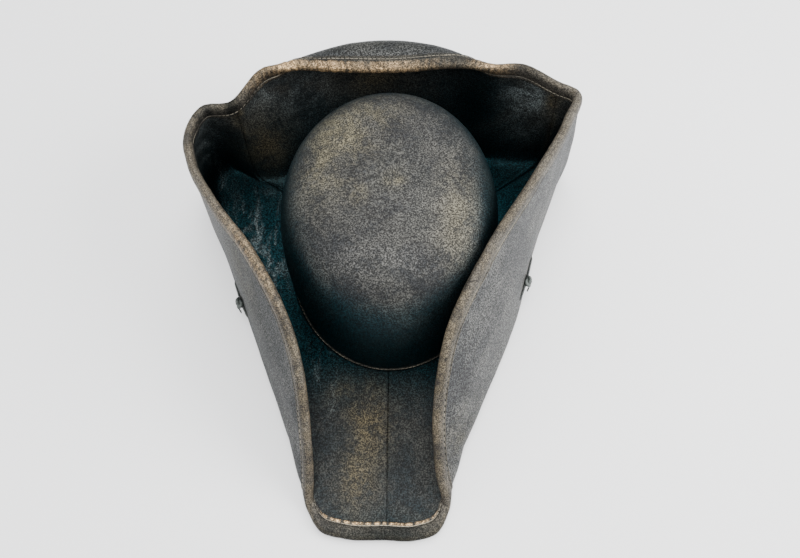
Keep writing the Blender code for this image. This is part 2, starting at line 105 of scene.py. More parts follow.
# ---- shader building ---------------------------------------------------------------
class Wire:
    """A value between shader nodes, which Python's arithmetic joins through Math nodes."""

    def __init__(self, shader: "Shader", socket: bpy.types.NodeSocket) -> None:
        """Hold one output socket of a shader's node tree."""
        self.shader = shader
        self.socket = socket

    def __add__(self, other: Value) -> Wire:
        """Sum."""
        return self.shader.maths("ADD", self, other)

    def __radd__(self, other: Value) -> Wire:
        """Sum, with the number first."""
        return self.shader.maths("ADD", other, self)

    def __sub__(self, other: Value) -> Wire:
        """Difference."""
        return self.shader.maths("SUBTRACT", self, other)

    def __rsub__(self, other: Value) -> Wire:
        """Difference, with the number first."""
        return self.shader.maths("SUBTRACT", other, self)

    def __mul__(self, other: Value) -> Wire:
        """Product."""
        return self.shader.maths("MULTIPLY", self, other)

    def __rmul__(self, other: Value) -> Wire:
        """Product, with the number first."""
        return self.shader.maths("MULTIPLY", other, self)

    def __abs__(self) -> Wire:
        """Distance from zero."""
        return self.shader.maths("ABSOLUTE", self, 0.0)


Value = Union[Wire, float]


class Shader:
    """One node material while it is being built."""

    def __init__(self, name: str) -> None:
        """Start a material.

        Args:
            name: the material's name.
        """
        self.material = bpy.data.materials.new(name)
        self.material.use_nodes = True
        self.tree = self.material.node_tree
        self.surface = self.tree.nodes["Principled BSDF"]
        self.place = self.node("ShaderNodeTexCoord", {}, {}, "Object")

    def node(self, kind: str, settings: Mapping[str, Any], inputs: Mapping[Any, Any],
             output: Union[int, str] = 0) -> Wire:
        """Add one node.

        Args:
            kind: the node's type.
            settings: its properties, set first.
            inputs: the values or wires of its sockets, by name or number.
            output: the output to return.

        Returns:
            The wire from that output.
        """
        node = self.tree.nodes.new(kind)
        for key, value in settings.items():
            setattr(node, key, value)
        for key, value in inputs.items():
            self.feed(node.inputs[key], value)
        return Wire(self, node.outputs[output])

    def feed(self, socket: bpy.types.NodeSocket, value: Any) -> None:
        """Link a wire to a socket, or set the socket to a value.

        Args:
            socket: the socket to fill.
            value: a wire, a colour or a number.
        """
        if isinstance(value, Wire):
            self.tree.links.new(value.socket, socket)
        elif isinstance(value, tuple) and len(value) == 3 and socket.type == "RGBA":
            socket.default_value = (*value, 1.0)
        else:
            socket.default_value = value

    def maths(self, operation: str, a: Value, b: Value) -> Wire:
        """One Math node on two values."""
        return self.node("ShaderNodeMath", {"operation": operation}, {0: a, 1: b})

    def attribute(self, name: str) -> Wire:
        """A number stored on the mesh's vertices."""
        return self.node("ShaderNodeAttribute", {"attribute_name": name}, {}, "Fac")

    def noise(self, scale: float, detail: float, roughness: float = 0.55,
              distortion: float = 0.0, place: Wire | None = None) -> Wire:
        """Noise from 0 to 1 with a number of features per metre.

        Args:
            scale: features per metre.
            detail: levels of finer noise.
            roughness: how strong the finer levels are.
            distortion: how far the pattern is pulled about.
            place: the coordinates to read, or the object's own.

        Returns:
            The noise.
        """
        return self.node("ShaderNodeTexNoise", {}, {
            "Vector": place or self.place, "Scale": scale, "Detail": detail,
            "Roughness": roughness, "Distortion": distortion})

    def stretched(self, factors: Place) -> Wire:
        """The object's coordinates scaled by a factor along each axis."""
        return self.node("ShaderNodeMapping", {}, {"Vector": self.place, "Scale": factors})

    def rise(self, value: Wire, low: float, high: float) -> Wire:
        """A smooth step from 0 at low to 1 at high."""
        return self.node("ShaderNodeMapRange", {"interpolation_type": "SMOOTHSTEP"},
                         {"Value": value, "From Min": low, "From Max": high})

    def mix(self, a: Union[Wire, Colour], b: Union[Wire, Colour], factor: Value) -> Wire:
        """Blend two colours.

        Args:
            a: the colour at 0.
            b: the colour at 1.
            factor: the share of the second.

        Returns:
            The blended colour.
        """
        first, second, result = 6, 7, 2
        return self.node("ShaderNodeMix", {"data_type": "RGBA"},
                         {0: factor, first: a, second: b}, result)

    def scaled(self, colour: Wire, factor: Value) -> Wire:
        """A colour made brighter or darker."""
        return self.node("ShaderNodeVectorMath", {"operation": "SCALE"},
                         {0: colour, "Scale": factor})

    def finish(self, colour: Union[Wire, Colour], roughness: Value, metallic: Value,
               height: Wire | None = None, depth_mm: float = 0.2) -> bpy.types.Material:
        """Feed the surface's shader.

        Args:
            colour: the base colour.
            roughness: from 0 to 1.
            metallic: from 0 to 1.
            height: the relief, from 0 to 1.
            depth_mm: what a relief of 1 stands for.

        Returns:
            The finished material.
        """
        self.feed(self.surface.inputs["Base Color"], colour)
        self.feed(self.surface.inputs["Roughness"], roughness)
        self.feed(self.surface.inputs["Metallic"], metallic)
        if height is not None:
            relief = self.node("ShaderNodeBump", {}, {
                "Height": height, "Distance": depth_mm * MM, "Strength": 1.0}, "Normal")
            self.feed(self.surface.inputs["Normal"], relief)
        return self.material


# ---- finishes ----------------------------------------------------------------------
class Grain(NamedTuple):
    """A noise pattern: features per metre, levels of detail, roughness and distortion."""

    scale: float
    detail: float
    roughness: float = 0.55
    distortion: float = 0.0


@dataclass(frozen=True)
class Suede:
    """Distressed faux suede: a dark ground with a rubbed nap, fine bronze flecks, tinted patches
    and painted light and shade.
    """

    name: str
    ground: Colour
    rubbed: Colour
    tan: Colour = (0.135, 0.110, 0.062)
    # The colour of painted shade: a teal-black laid where the deep mark says shade falls.
    deep: Colour = (0.0018, 0.0150, 0.0190)
    # The gold colour; on the binding's front hem it serves as painted highlight.
    gold: Colour = (0.70, 0.52, 0.31)
    # The pale colour: for scuffs, and as painted light on the paler patches of the brim.
    pale: Colour = (0.135, 0.135, 0.125)
    metallic: float = 0.20
    roughness: float = 0.62
    specular: float = 0.25
    fleck_low: float = 0.26
    fleck_high: float = 2.55
    grain: float = 1000.0
    grain_detail: float = 3
    grain_roughness: float = 0.72
    clouds: Grain = Grain(26, 5, 0.62, 0.5)
    islands: Grain = Grain(58, 6, 0.68, 0.5)
    nap: Grain = Grain(300, 4, 0.64)
    smears: Grain = Grain(120, 4, 0.62, 0.8)
    smear_stretch: Place = (1.0, 0.30, 0.45)
    flakes: Grain = Grain(420, 4, 0.7)
    creases: Grain = Grain(95, 5, 0.6, 0.9)
    crease_width: float = 0.09
    fleck_span: Span = (0.44, 0.62)
    rubbed_span: Span = (0.41, 0.60)
    broken_span: Span = (0.41, 0.57)
    gold_span: Span = (0.38, 0.56)
    smear_span: Span = (0.46, 0.64)
    flake_span: Span = (0.50, 0.66)
    relief_mm: float = 0.24

    def make(self) -> bpy.types.Material:
        """Build the material.

        Returns:
            The finished material.
        """
        s = Shader(self.name)
        clouds = s.noise(*self.clouds)
        islands = s.noise(*self.islands)
        nap = s.noise(*self.nap)
        grain = s.noise(self.grain, self.grain_detail, self.grain_roughness)
        fleck = s.rise(grain, *self.fleck_span)
        rubbing = s.rise(clouds * 0.70 + nap * 0.30, *self.rubbed_span)
        colour = s.mix(self.ground, self.rubbed, rubbing)
        tan, pale = s.attribute(Dye.TAN.value), s.attribute(Dye.PALE.value)
        broken = s.rise(islands * 0.7 + nap * 0.3, *self.broken_span)
        # Paler patches: painted light on the brim's inner back wall and rear lobes and on its outer
        # right wall.
        colour = s.mix(colour, self.pale, pale * (0.15 + 0.85 * broken))
        colour = s.mix(colour, self.tan, tan * (0.20 + 0.80 * broken))
        gold = s.attribute(Dye.GOLD.value) * (0.30 + 0.70 * s.rise(nap, *self.gold_span))
        smeared = s.noise(*self.smears, s.stretched(self.smear_stretch))
        smears = s.rise(smeared, *self.smear_span)
        flakes = s.rise(s.noise(*self.flakes), *self.flake_span)
        scuff = s.attribute(Dye.SCUFF.value) * smears * (0.35 + 0.65 * flakes)
        # Painted shade: the deep mark blends toward the shade colour and also raises the metal
        # share, which darkens it further.
        deep = s.attribute(Dye.DEEP.value)
        colour = s.mix(colour, self.deep, deep)
        # Gold: on the binding's front hem it is painted highlight.
        colour = s.mix(colour, self.gold, gold)
        colour = s.mix(colour, self.pale, scuff)
        colour = s.scaled(colour, self.fleck_low + (self.fleck_high - self.fleck_low) * fleck)
        shine = fleck * 0.20 + gold * 0.35 + deep * (1 - scuff) * 0.75
        creases = s.rise(abs(s.noise(*self.creases) - 0.5), 0.0, self.crease_width)
        height = grain * 0.45 + nap * 0.9 + creases * 0.28
        s.surface.inputs["Specular IOR Level"].default_value = self.specular
        return s.finish(colour, self.roughness - fleck * 0.1, self.metallic + shine, height,
                        self.relief_mm)


@dataclass(frozen=True)
class Thread:
    """Twisted sewing thread."""

    name: str
    light: Colour
    dark: Colour
    strands: Grain = Grain(1500, 2, 0.6, 0.4)
    wear: Grain = Grain(45, 3)
    wear_span: Span = (0.36, 0.62)
    relief_mm: float = 0.12

    def make(self) -> bpy.types.Material:
        """Build the material.

        Returns:
            The finished material.
        """
        s = Shader(self.name)
        strands = s.noise(*self.strands)
        wear = s.rise(s.noise(*self.wear), *self.wear_span)
        gold = s.attribute(Dye.GOLD.value)
        # The thread turns light with random wear and where the gold mark lies; along the front hem
        # that is painted highlight.
        colour = s.mix(self.dark, self.light, s.maths("MAXIMUM", wear * 0.30, gold))
        colour = s.scaled(colour, 0.7 + 0.6 * strands)
        return s.finish(colour, 0.55 + 0.1 * strands, 0.1, strands, self.relief_mm)


@dataclass(frozen=True)
class Thong:
    """Flat suede lace with a short, greyed nap."""

    name: str
    ground: Colour
    rubbed: Colour
    nap: Grain = Grain(420, 5, 0.65)
    bands: Grain = Grain(110, 3, 0.5, 0.3)
    rubbed_span: Span = (0.38, 0.62)
    relief_mm: float = 0.25

    def make(self) -> bpy.types.Material:
        """Build the material.

        Returns:
            The finished material.
        """
        s = Shader(self.name)
        nap = s.noise(*self.nap)
        bands = s.noise(*self.bands)
        rubbing = s.rise(nap * 0.6 + bands * 0.4, *self.rubbed_span)
        colour = s.mix(self.ground, self.rubbed, rubbing)
        return s.finish(colour, 0.72 - 0.15 * nap, 0.08, nap, self.relief_mm)


@dataclass(frozen=True)
class Satin:
    """Dark lining cloth with a fine twill and soft creases."""

    name: str
    ground: Colour
    sheen: Colour
    twill_scale: float = 420.0
    twill_distortion: float = 0.6
    creases: Grain = Grain(36, 4, 0.55, 0.8)
    sheen_span: Span = (0.35, 0.70)
    relief_mm: float = 0.5

    def make(self) -> bpy.types.Material:
        """Build the material.

        Returns:
            The finished material.
        """
        s = Shader(self.name)
        twill = s.node("ShaderNodeTexWave", {"bands_direction": "DIAGONAL"}, {
            "Vector": s.place, "Scale": self.twill_scale,
            "Distortion": self.twill_distortion, "Detail": 1.0}, "Fac")
        creases = s.noise(*self.creases)
        sheen = s.rise(creases, *self.sheen_span) * 0.6 + twill * 0.25
        colour = s.mix(self.ground, self.sheen, sheen)
        height = twill * 0.15 + creases * 0.85
        return s.finish(colour, 0.42 + 0.12 * creases, 0.0, height, self.relief_mm)


@dataclass(frozen=True)
class Ribbon:
    """Grosgrain ribbon: upright ribs with a woven edge."""

    name: str
    ground: Colour
    rib: Colour
    ribs_round: float = 420.0
    weave: Grain = Grain(700, 3, 0.6)
    grime: Grain = Grain(30, 4)
    grime_span: Span = (0.42, 0.66)
    relief_mm: float = 0.22

    def make(self) -> bpy.types.Material:
        """Build the material.

        Returns:
            The finished material.
        """
        s = Shader(self.name)
        around = s.attribute("around")
        ribs = 0.5 + 0.5 * s.maths("SINE", around * (2 * math.pi * self.ribs_round), 0.0)
        weave = s.noise(*self.weave)
        grime = s.rise(s.noise(*self.grime), *self.grime_span)
        colour = s.mix(self.ground, self.rib, ribs * 0.6 + weave * 0.3)
        colour = s.scaled(colour, 1.15 - 0.35 * grime)
        height = ribs * 0.8 + weave * 0.2
        return s.finish(colour, 0.66 + 0.1 * weave, 0.0, height, self.relief_mm)


@dataclass(frozen=True)
class Foam:
    """Open-cell foam and buckram, for the layers inside the brim and crown."""

    name: str
    ground: Colour
    cell: Colour
    cell_scale: float = 900.0
    cell_span: Span = (0.1, 0.5)
    stain: Grain = Grain(40, 3)
    relief_mm: float = 0.2

    def make(self) -> bpy.types.Material:
        """Build the material.

        Returns:
            The finished material.
        """
        s = Shader(self.name)
        cells = s.node("ShaderNodeTexVoronoi", {},
                       {"Vector": s.place, "Scale": self.cell_scale}, "Distance")
        stain = s.noise(*self.stain)
        walls = s.rise(cells, *self.cell_span) * (0.6 + 0.4 * stain)
        colour = s.mix(self.cell, self.ground, walls)
        return s.finish(colour, 0.9 - 0.1 * stain, 0.0, cells, self.relief_mm)


@dataclass(frozen=True)
class Steel:
    """Drawn spring wire with faint draw lines and spots of tarnish."""

    name: str
    bright: Colour
    tarnish: Colour
    spots: Grain = Grain(260, 4, 0.65)
    spot_span: Span = (0.52, 0.68)
    draw_lines: Grain = Grain(900, 2)
    relief_mm: float = 0.03

    def make(self) -> bpy.types.Material:
        """Build the material.

        Returns:
            The finished material.
        """
        s = Shader(self.name)
        spots = s.rise(s.noise(*self.spots), *self.spot_span)
        lines = s.noise(*self.draw_lines)
        colour = s.mix(self.bright, self.tarnish, spots * 0.7)
        roughness = 0.24 + 0.3 * spots + 0.08 * lines
        return s.finish(colour, roughness, 1.0 - 0.4 * spots, lines, self.relief_mm)


@dataclass(frozen=True)
class PaleFloor:
    """Plain pale studio floor."""

    name: str
    colour: Colour
    mottle: Grain = Grain(3, 3)
    mottle_shade: float = 0.97

    def make(self) -> bpy.types.Material:
        """Build the material.

        Returns:
            The finished material.
        """
        s = Shader(self.name)
        mottle = s.noise(*self.mottle)
        darker = tuple(self.mottle_shade * c for c in self.colour)
        colour = s.mix(self.colour, darker, mottle)
        return s.finish(colour, 0.75 + 0.1 * mottle, 0.0)


Finish = Union[Suede, Thread, Thong, Satin, Ribbon, Foam, Steel, PaleFloor]

CROWN_SUEDE = Suede("crown_suede", ground=(0.0100, 0.0110, 0.0120), rubbed=(0.035, 0.0345, 0.031),
                    tan=(0.084, 0.074, 0.046), pale=(0.070, 0.069, 0.064), grain=960.0)
# The brim's two faces are one suede in two copies: the inner face's copy is darker, as painted
# shade in the trough, and its pale colour is raised for painted light.
INNER_SUEDE_SHADED = Suede("inner_suede", ground=(0.0085, 0.0100, 0.0105), rubbed=(0.022, 0.0210, 0.018),
                    tan=(0.066, 0.053, 0.029), pale=(0.110, 0.128, 0.128),
                    deep=(0.0026, 0.0145, 0.0180))
# The outer face's copy is about two and a half times lighter, as painted light on the walls; its
# deep colour is a neutral painted shade.
OUTER_SUEDE_LIT = Suede("outer_suede", ground=(0.024, 0.025, 0.026), rubbed=(0.058, 0.058, 0.055),
                    tan=(0.078, 0.070, 0.044), pale=(0.082, 0.080, 0.076),
                    deep=(0.0090, 0.0115, 0.0115), grain=840.0,
                    fleck_low=0.18, fleck_high=2.60)
BINDING_SUEDE = Suede("binding_suede", ground=(0.026, 0.024, 0.021), rubbed=(0.078, 0.070, 0.057),
                      tan=(0.120, 0.096, 0.060), gold=(0.75, 0.51, 0.27),
                      deep=(0.0070, 0.0100, 0.0100), fleck_low=0.34,
                      fleck_high=2.15, grain=1150.0)
STITCH_THREAD = Thread("stitch_thread", light=(0.74, 0.66, 0.50), dark=(0.030, 0.027, 0.022))
# The thong and its loose ends get a far darker copy of the knot's lace: painted shade on the
# strands that stand off the wall.
THONG_SUEDE_SHADED = Thong("thong_suede_shaded", ground=(0.006, 0.008, 0.008), rubbed=(0.028, 0.032, 0.029))
KNOT_SUEDE = Thong("knot_suede", ground=(0.026, 0.031, 0.029), rubbed=(0.090, 0.103, 0.094))
LINING_SATIN = Satin("lining_satin", ground=(0.012, 0.012, 0.014), sheen=(0.035, 0.035, 0.040))
BAND_RIBBON = Ribbon("band_ribbon", ground=(0.012, 0.012, 0.012), rib=(0.045, 0.044, 0.042))
CORE_FOAM = Foam("core_foam", ground=(0.05, 0.05, 0.052), cell=(0.018, 0.018, 0.02))
WIRE_STEEL = Steel("wire_steel", bright=(0.60, 0.60, 0.60), tarnish=(0.22, 0.17, 0.13))
STUDIO_FLOOR = PaleFloor("studio_floor", colour=(0.94, 0.94, 0.94))


# ---- colour marks: stains, painted light and painted shade -------------------------
class Patch(NamedTuple):
    """A soft-edged, named patch of one colour mark (stains as well as painted light and shade): its
    middle, its reach on each axis, its strength.
    """

    place: str
    dye: Dye
    middle: Place
    reach: Place
    strength: float


BRIM_PATCHES = (
    Patch("trough, rubbed middle", Dye.TAN, (-18, -150, 4), (16, 34, 20), 1.0),
    Patch("trough, rubbed foot", Dye.TAN, (-25, -192, 4), (13, 22, 20), 0.85),
    Patch("trough, rubbed top", Dye.TAN, (-34, -122, 4), (16, 12, 20), 0.55),
    Patch("left lobe, inner wall", Dye.TAN, (-112, 92, 40), (24, 22, 34), 0.85),
    Patch("back wall, rubbed middle", Dye.TAN, (-14, 124, 82), (24, 34, 26), 0.9),
    Patch("right seam, top", Dye.TAN, (137, 103, 96), (6, 12, 24), 1.0),
    Patch("right seam, wall", Dye.TAN, (142, 103, 50), (3, 6, 40), 0.6),
    Patch("left seam, top", Dye.TAN, (-129, 92, 94), (5, 9, 20), 0.9),
    Patch("left seam, wall", Dye.TAN, (-127, 89, 50), (3, 7, 40), 0.6),
    # Painted light: these paler patches lighten the inner back wall, the rear lobes and the left
    # point, which the lamps hardly reach.
    Patch("right rear lobe, greyed", Dye.PALE, (119, 111, 86), (24, 26, 26), 1.0),
    Patch("left rear lobe, greyed", Dye.PALE, (-98, 108, 98), (26, 20, 20), 0.40),
    Patch("left back wall, greyed", Dye.PALE, (-70, 108, 84), (54, 30, 44), 0.42),
    Patch("back wall under the rim, greyed", Dye.PALE, (14, 118, 96), (70, 28, 34), 0.34),
    Patch("right rear wall, greyed", Dye.PALE, (120, 108, 50), (24, 26, 40), 0.45),
    Patch("left point, wall", Dye.PALE, (-158, 70, 70), (12, 30, 34), 0.22),
    Patch("left point, top", Dye.PALE, (-150, 84, 92), (16, 20, 16), 0.35),
    Patch("left gutter, rear smears", Dye.SCUFF, (-128, 26, 4), (24, 34, 14), 1.0),
    Patch("left gutter, middle smears", Dye.SCUFF, (-112, -4, 4), (18, 30, 14), 1.0),
    Patch("left point, smears", Dye.SCUFF, (-160, 76, 50), (8, 14, 50), 1.0),
    Patch("left throat, smears", Dye.SCUFF, (-70, -126, 10), (26, 30, 20), 0.8),
    # Painted shade: these dark patches darken the back corner, the right gutter, the front hem, the
    # left throat and the back wall's foot, where shade falls.
    Patch("right back corner, dark", Dye.DEEP, (64, 118, 66), (44, 26, 50), 1.0),
    Patch("right gutter, dark", Dye.DEEP, (104, 50, 4), (42, 50, 44), 1.0),
    Patch("front hem, dark", Dye.DEEP, (0, -222, 4), (60, 14, 20), 0.25),
    Patch("left throat, dark", Dye.DEEP, (-96, -40, 20), (44, 50, 60), 0.95),
    Patch("back wall foot, dark", Dye.DEEP, (-52, 112, 40), (44, 20, 34), 0.8),
    Patch("left back rim, gilt", Dye.GOLD, (-80, 114, 122), (14, 12, 8), 0.8),
    Patch("back rim, gilt", Dye.GOLD, (-30, 110, 121), (50, 12, 7), 0.4),
)
EDGE_PATCHES = (
    Patch("left back rim, bright gilt", Dye.GOLD, (-84, 112, 124), (15, 14, 12), 1.0),
    Patch("left back rim, gilt", Dye.GOLD, (-50, 106, 122), (24, 14, 12), 0.75),
    Patch("back rim middle, gilt", Dye.GOLD, (0, 104, 122), (34, 14, 12), 0.60),
    Patch("left lobe rim, gilt", Dye.GOLD, (-108, 108, 120), (14, 14, 12), 0.40),
    Patch("right back rim, gilt", Dye.GOLD, (84, 114, 120), (15, 12, 12), 0.60),
    # Painted shade: the binding's dark patches, here and below, darken parts of the edge that lie
    # in shade.
    Patch("left lobe edge, dark", Dye.DEEP, (-148, 88, 102), (20, 16, 14), 0.45),
    Patch("left wall edge, faint gilt", Dye.GOLD, (-104, -52, 114), (30, 60, 20), 0.18),
    Patch("right of back rim, dark", Dye.DEEP, (54, 108, 121), (22, 14, 12), 0.60),
    Patch("right lobe edge, dark", Dye.DEEP, (118, 114, 118), (14, 12, 12), 0.35),
    Patch("left seam edge, dark", Dye.DEEP, (-132, 94, 104), (8, 14, 16), 0.75),
    Patch("front edge, dark", Dye.DEEP, (0, -237, 3), (70, 12, 14), 0.80),
    Patch("whole edge, tan", Dye.TAN, (0, -100, 60), (130, 110, 80), 0.50),
    Patch("back edge, darkened", Dye.DEEP, (-10, 120, 124), (150, 34, 24), 0.58),
)
OUTER_PATCHES = (
    Patch("left wall, tan", Dye.TAN, (-116, -58, 70), (16, 46, 40), 0.75),
    Patch("left rear wall, tan", Dye.TAN, (-150, 20, 70), (16, 30, 40), 0.35),
    Patch("right foot, tan", Dye.TAN, (52, -160, 24), (20, 30, 24), 0.35),
    # Painted shade on the outer left and back walls, and painted light on the outer right wall, as
    # the lamps light the right side most.
    Patch("left wall, dark", Dye.DEEP, (-112, -70, 36), (52, 130, 90), 0.72),
    Patch("right wall, greyed", Dye.PALE, (96, -84, 70), (30, 60, 50), 0.45),
    Patch("back flap crest, tan", Dye.TAN, (-20, 140, 126), (60, 14, 12), 0.25),
    Patch("back wall, dark", Dye.DEEP, (0, 140, 100), (150, 40, 120), 0.45),
)
CROWN_PATCHES = (
    Patch("left rear top, tan", Dye.TAN, (-36, 40, 134), (26, 26, 30), 0.95),
    Patch("left top, tan", Dye.TAN, (-48, 14, 134), (22, 30, 30), 0.75),
    Patch("rear top, tan", Dye.TAN, (-16, 58, 132), (24, 20, 20), 0.60),
    Patch("middle spot, tan", Dye.TAN, (4, -2, 137), (7, 7, 20), 0.80),
    Patch("left of middle spot, tan", Dye.TAN, (-22, -14, 137), (6, 9, 20), 0.70),
    Patch("right top, tan", Dye.TAN, (50, -30, 134), (16, 40, 16), 0.60),
    Patch("right top, greyed", Dye.PALE, (44, -26, 136), (26, 34, 20), 0.70),
    Patch("front top, greyed", Dye.PALE, (0, -66, 133), (52, 16, 10), 0.60),
    Patch("right rear top, greyed", Dye.PALE, (54, 20, 134), (18, 30, 16), 0.45),
    # Painted shade down the crown's right side.
    Patch("right side, dark", Dye.DEEP, (82, -14, 116), (20, 66, 22), 0.80),
)
THREAD_PATCHES = (
    # Painted highlight: the thread is lightened along the front hem; it is lighter along the back
    # rim too.
    Patch("front hem thread, gilt", Dye.GOLD, (0, -232, 6), (70, 16, 20), 0.40),
    Patch("back rim thread, gilt", Dye.GOLD, (-20, 108, 122), (110, 14, 14), 0.35),
)


def smooth_step(values: np.ndarray, low: float, high: float) -> np.ndarray:
    """A smooth step from 0 at low to 1 at high.

    Args:
        values: the numbers to step.
        low: where the step starts.
        high: where it ends.

    Returns:
        The stepped numbers, from 0 to 1.
    """
    t = np.clip((values - low) / (high - low), 0.0, 1.0)
    return t * t * (3 - 2 * t)


def painted_and_dyed(points: np.ndarray, patches: Sequence[Patch]) -> dict[Dye, np.ndarray]:
    """How much of each colour mark, stains and painted light and shade alike, a set of patches puts
    at some points.

    Args:
        points: places in millimetres, on the last axis.
        patches: the patches of all marks.

    Returns:
        A share from 0 to 1 at each point, for every mark.
    """
    shares = {dye: np.zeros(points.shape[:-1]) for dye in Dye}
    for patch in patches:
        away = (((points - np.array(patch.middle)) / np.array(patch.reach)) ** 2).sum(axis=-1)
        shares[patch.dye] = np.maximum(shares[patch.dye], patch.strength * np.exp(-away))
    return shares


def rough(points: np.ndarray, size: float, seed: float = 0.0) -> np.ndarray:
    """Smooth noise from about -1 to 1 with features of a size in millimetres.

    Args:
        points: places in millimetres, on the last axis.
        size: the size of a feature.
        seed: shifts the pattern, so that two calls differ.

    Returns:
        One value for each point.
    """
    flat = points.reshape(-1, 3) / size + seed
    values = [noise.noise(Vector(point)) for point in flat]
    return np.array(values).reshape(points.shape[:-1])


def unit(vectors: np.ndarray) -> np.ndarray:
    """Vectors scaled to length one along their last axis."""
    return vectors / np.linalg.norm(vectors, axis=-1, keepdims=True)


# ---- meshes ------------------------------------------------------------------------
class Workshop:
    """Makes, dresses and registers the pieces."""

    def __init__(self) -> None:
        """Start with no materials made."""
        self.materials: dict[str, bpy.types.Material] = {}

    def material(self, finish: Finish) -> bpy.types.Material:
        """The material of a finish, built once.

        Args:
            finish: the finish to build.

        Returns:
            Its material.
        """
        if finish.name not in self.materials:
            self.materials[finish.name] = finish.make()
        return self.materials[finish.name]

    def mesh(self, name: str, points: np.ndarray, faces: list[tuple[int, ...]], finish: Finish,
             attributes: Mapping[str, np.ndarray] | None = None) -> bpy.types.Object:
        """Make a smooth-shaded mesh object.

        Args:
            name: the piece's name.
            points: its vertices in millimetres.
            faces: its faces, as vertex numbers.
            finish: the finish it is dressed in.
            attributes: numbers for its vertices, by name.

        Returns:
            The object, at the origin.
        """
        data = bpy.data.meshes.new(name)
        data.from_pydata((points * MM).tolist(), [], faces)
        for key, values in (attributes or {}).items():
            stored = data.attributes.new(key, "FLOAT", "POINT")
            stored.data.foreach_set("value", np.asarray(values, np.float32).ravel())
        data.shade_smooth()
        data.materials.append(self.material(finish))
        piece = bpy.data.objects.new(name, data)
        bpy.context.scene.collection.objects.link(piece)
        return piece

    def register(self, piece: bpy.types.Object, slot: str, *replaced: str) -> bpy.types.Object:
        """Set a piece on the hat's body, hide the frame's nodes it stands for and log its faces.

        Args:
            piece: the finished piece.
            slot: a name for the slot of its material; not used.
            replaced: the frame's nodes it stands for.

        Returns:
            The same piece.
        """
        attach(piece, BODY)
        if replaced:
            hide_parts(*replaced)
        log.info("%s: %d faces", piece.name, len(piece.data.polygons))
        return piece

    def dress(self, node: str, finish: Finish) -> None:
        """Give a node that stays as it is a better material.

        Args:
            node: the frame's node.
            finish: the finish it is given.
        """
        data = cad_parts[node].data
        data.materials.clear()
        data.materials.append(self.material(finish))
        log.info("%s keeps its shape, in %s", node, finish.name)


def shell_faces(columns: int, rows: int, closed: bool) -> list[tuple[int, ...]]:
    """Faces of a thin shell whose upper points come first, then its lower points.

    Args:
        columns: the number of columns of points.
        rows: the number of points in each column.
        closed: whether the last column joins the first.

    Returns:
        The upper faces, the lower faces, and the strips along the open borders.
    """
    size = columns * rows
    faces = []
    spans = columns if closed else columns - 1
    for i in range(spans):
        j = (i + 1) % columns
        for k in range(rows - 1):
            a, b = i * rows + k, j * rows + k
            faces.append((a, a + 1, b + 1, b))
            faces.append((size + a, size + b, size + b + 1, size + a + 1))
        first, last = (i * rows, j * rows), (i * rows + rows - 1, j * rows + rows - 1)
        faces.append((first[0], first[1], size + first[1], size + first[0]))
        faces.append((last[1], last[0], size + last[0], size + last[1]))
    if not closed:
        for k in range(rows - 1):
            a, b = k, size - rows + k
            faces.append((a + 1, a, size + a, size + a + 1))
            faces.append((b, b + 1, size + b + 1, size + b))
    return faces


def tube_faces(rings: int, sides: int, closed: bool = True) -> list[tuple[int, ...]]:
    """Faces of a tube of rings, a loop or with both ends closed.

    Args:
        rings: how many rings of points.
        sides: how many points in each ring.
        closed: whether the last ring joins the first.

    Returns:
        The faces, as vertex numbers.
    """
    faces = []
    for i in range(rings if closed else rings - 1):
        j = (i + 1) % rings
        for k in range(sides):
            m = (k + 1) % sides
            faces.append((i * sides + k, j * sides + k, j * sides + m, i * sides + m))
    if not closed:
        faces.append(tuple(range(sides)))
        faces.append(tuple(reversed(range((rings - 1) * sides, rings * sides))))
    return faces


# ---- the brim's surface ------------------------------------------------------------
class Station(NamedTuple):
    """A named place round the brim: where its floor folds, its rim ends and its wall bends."""

    place: str
    fold: tuple[float, float]
    rim: Place
    bow: float = 0.0
    curl: float = 0.0


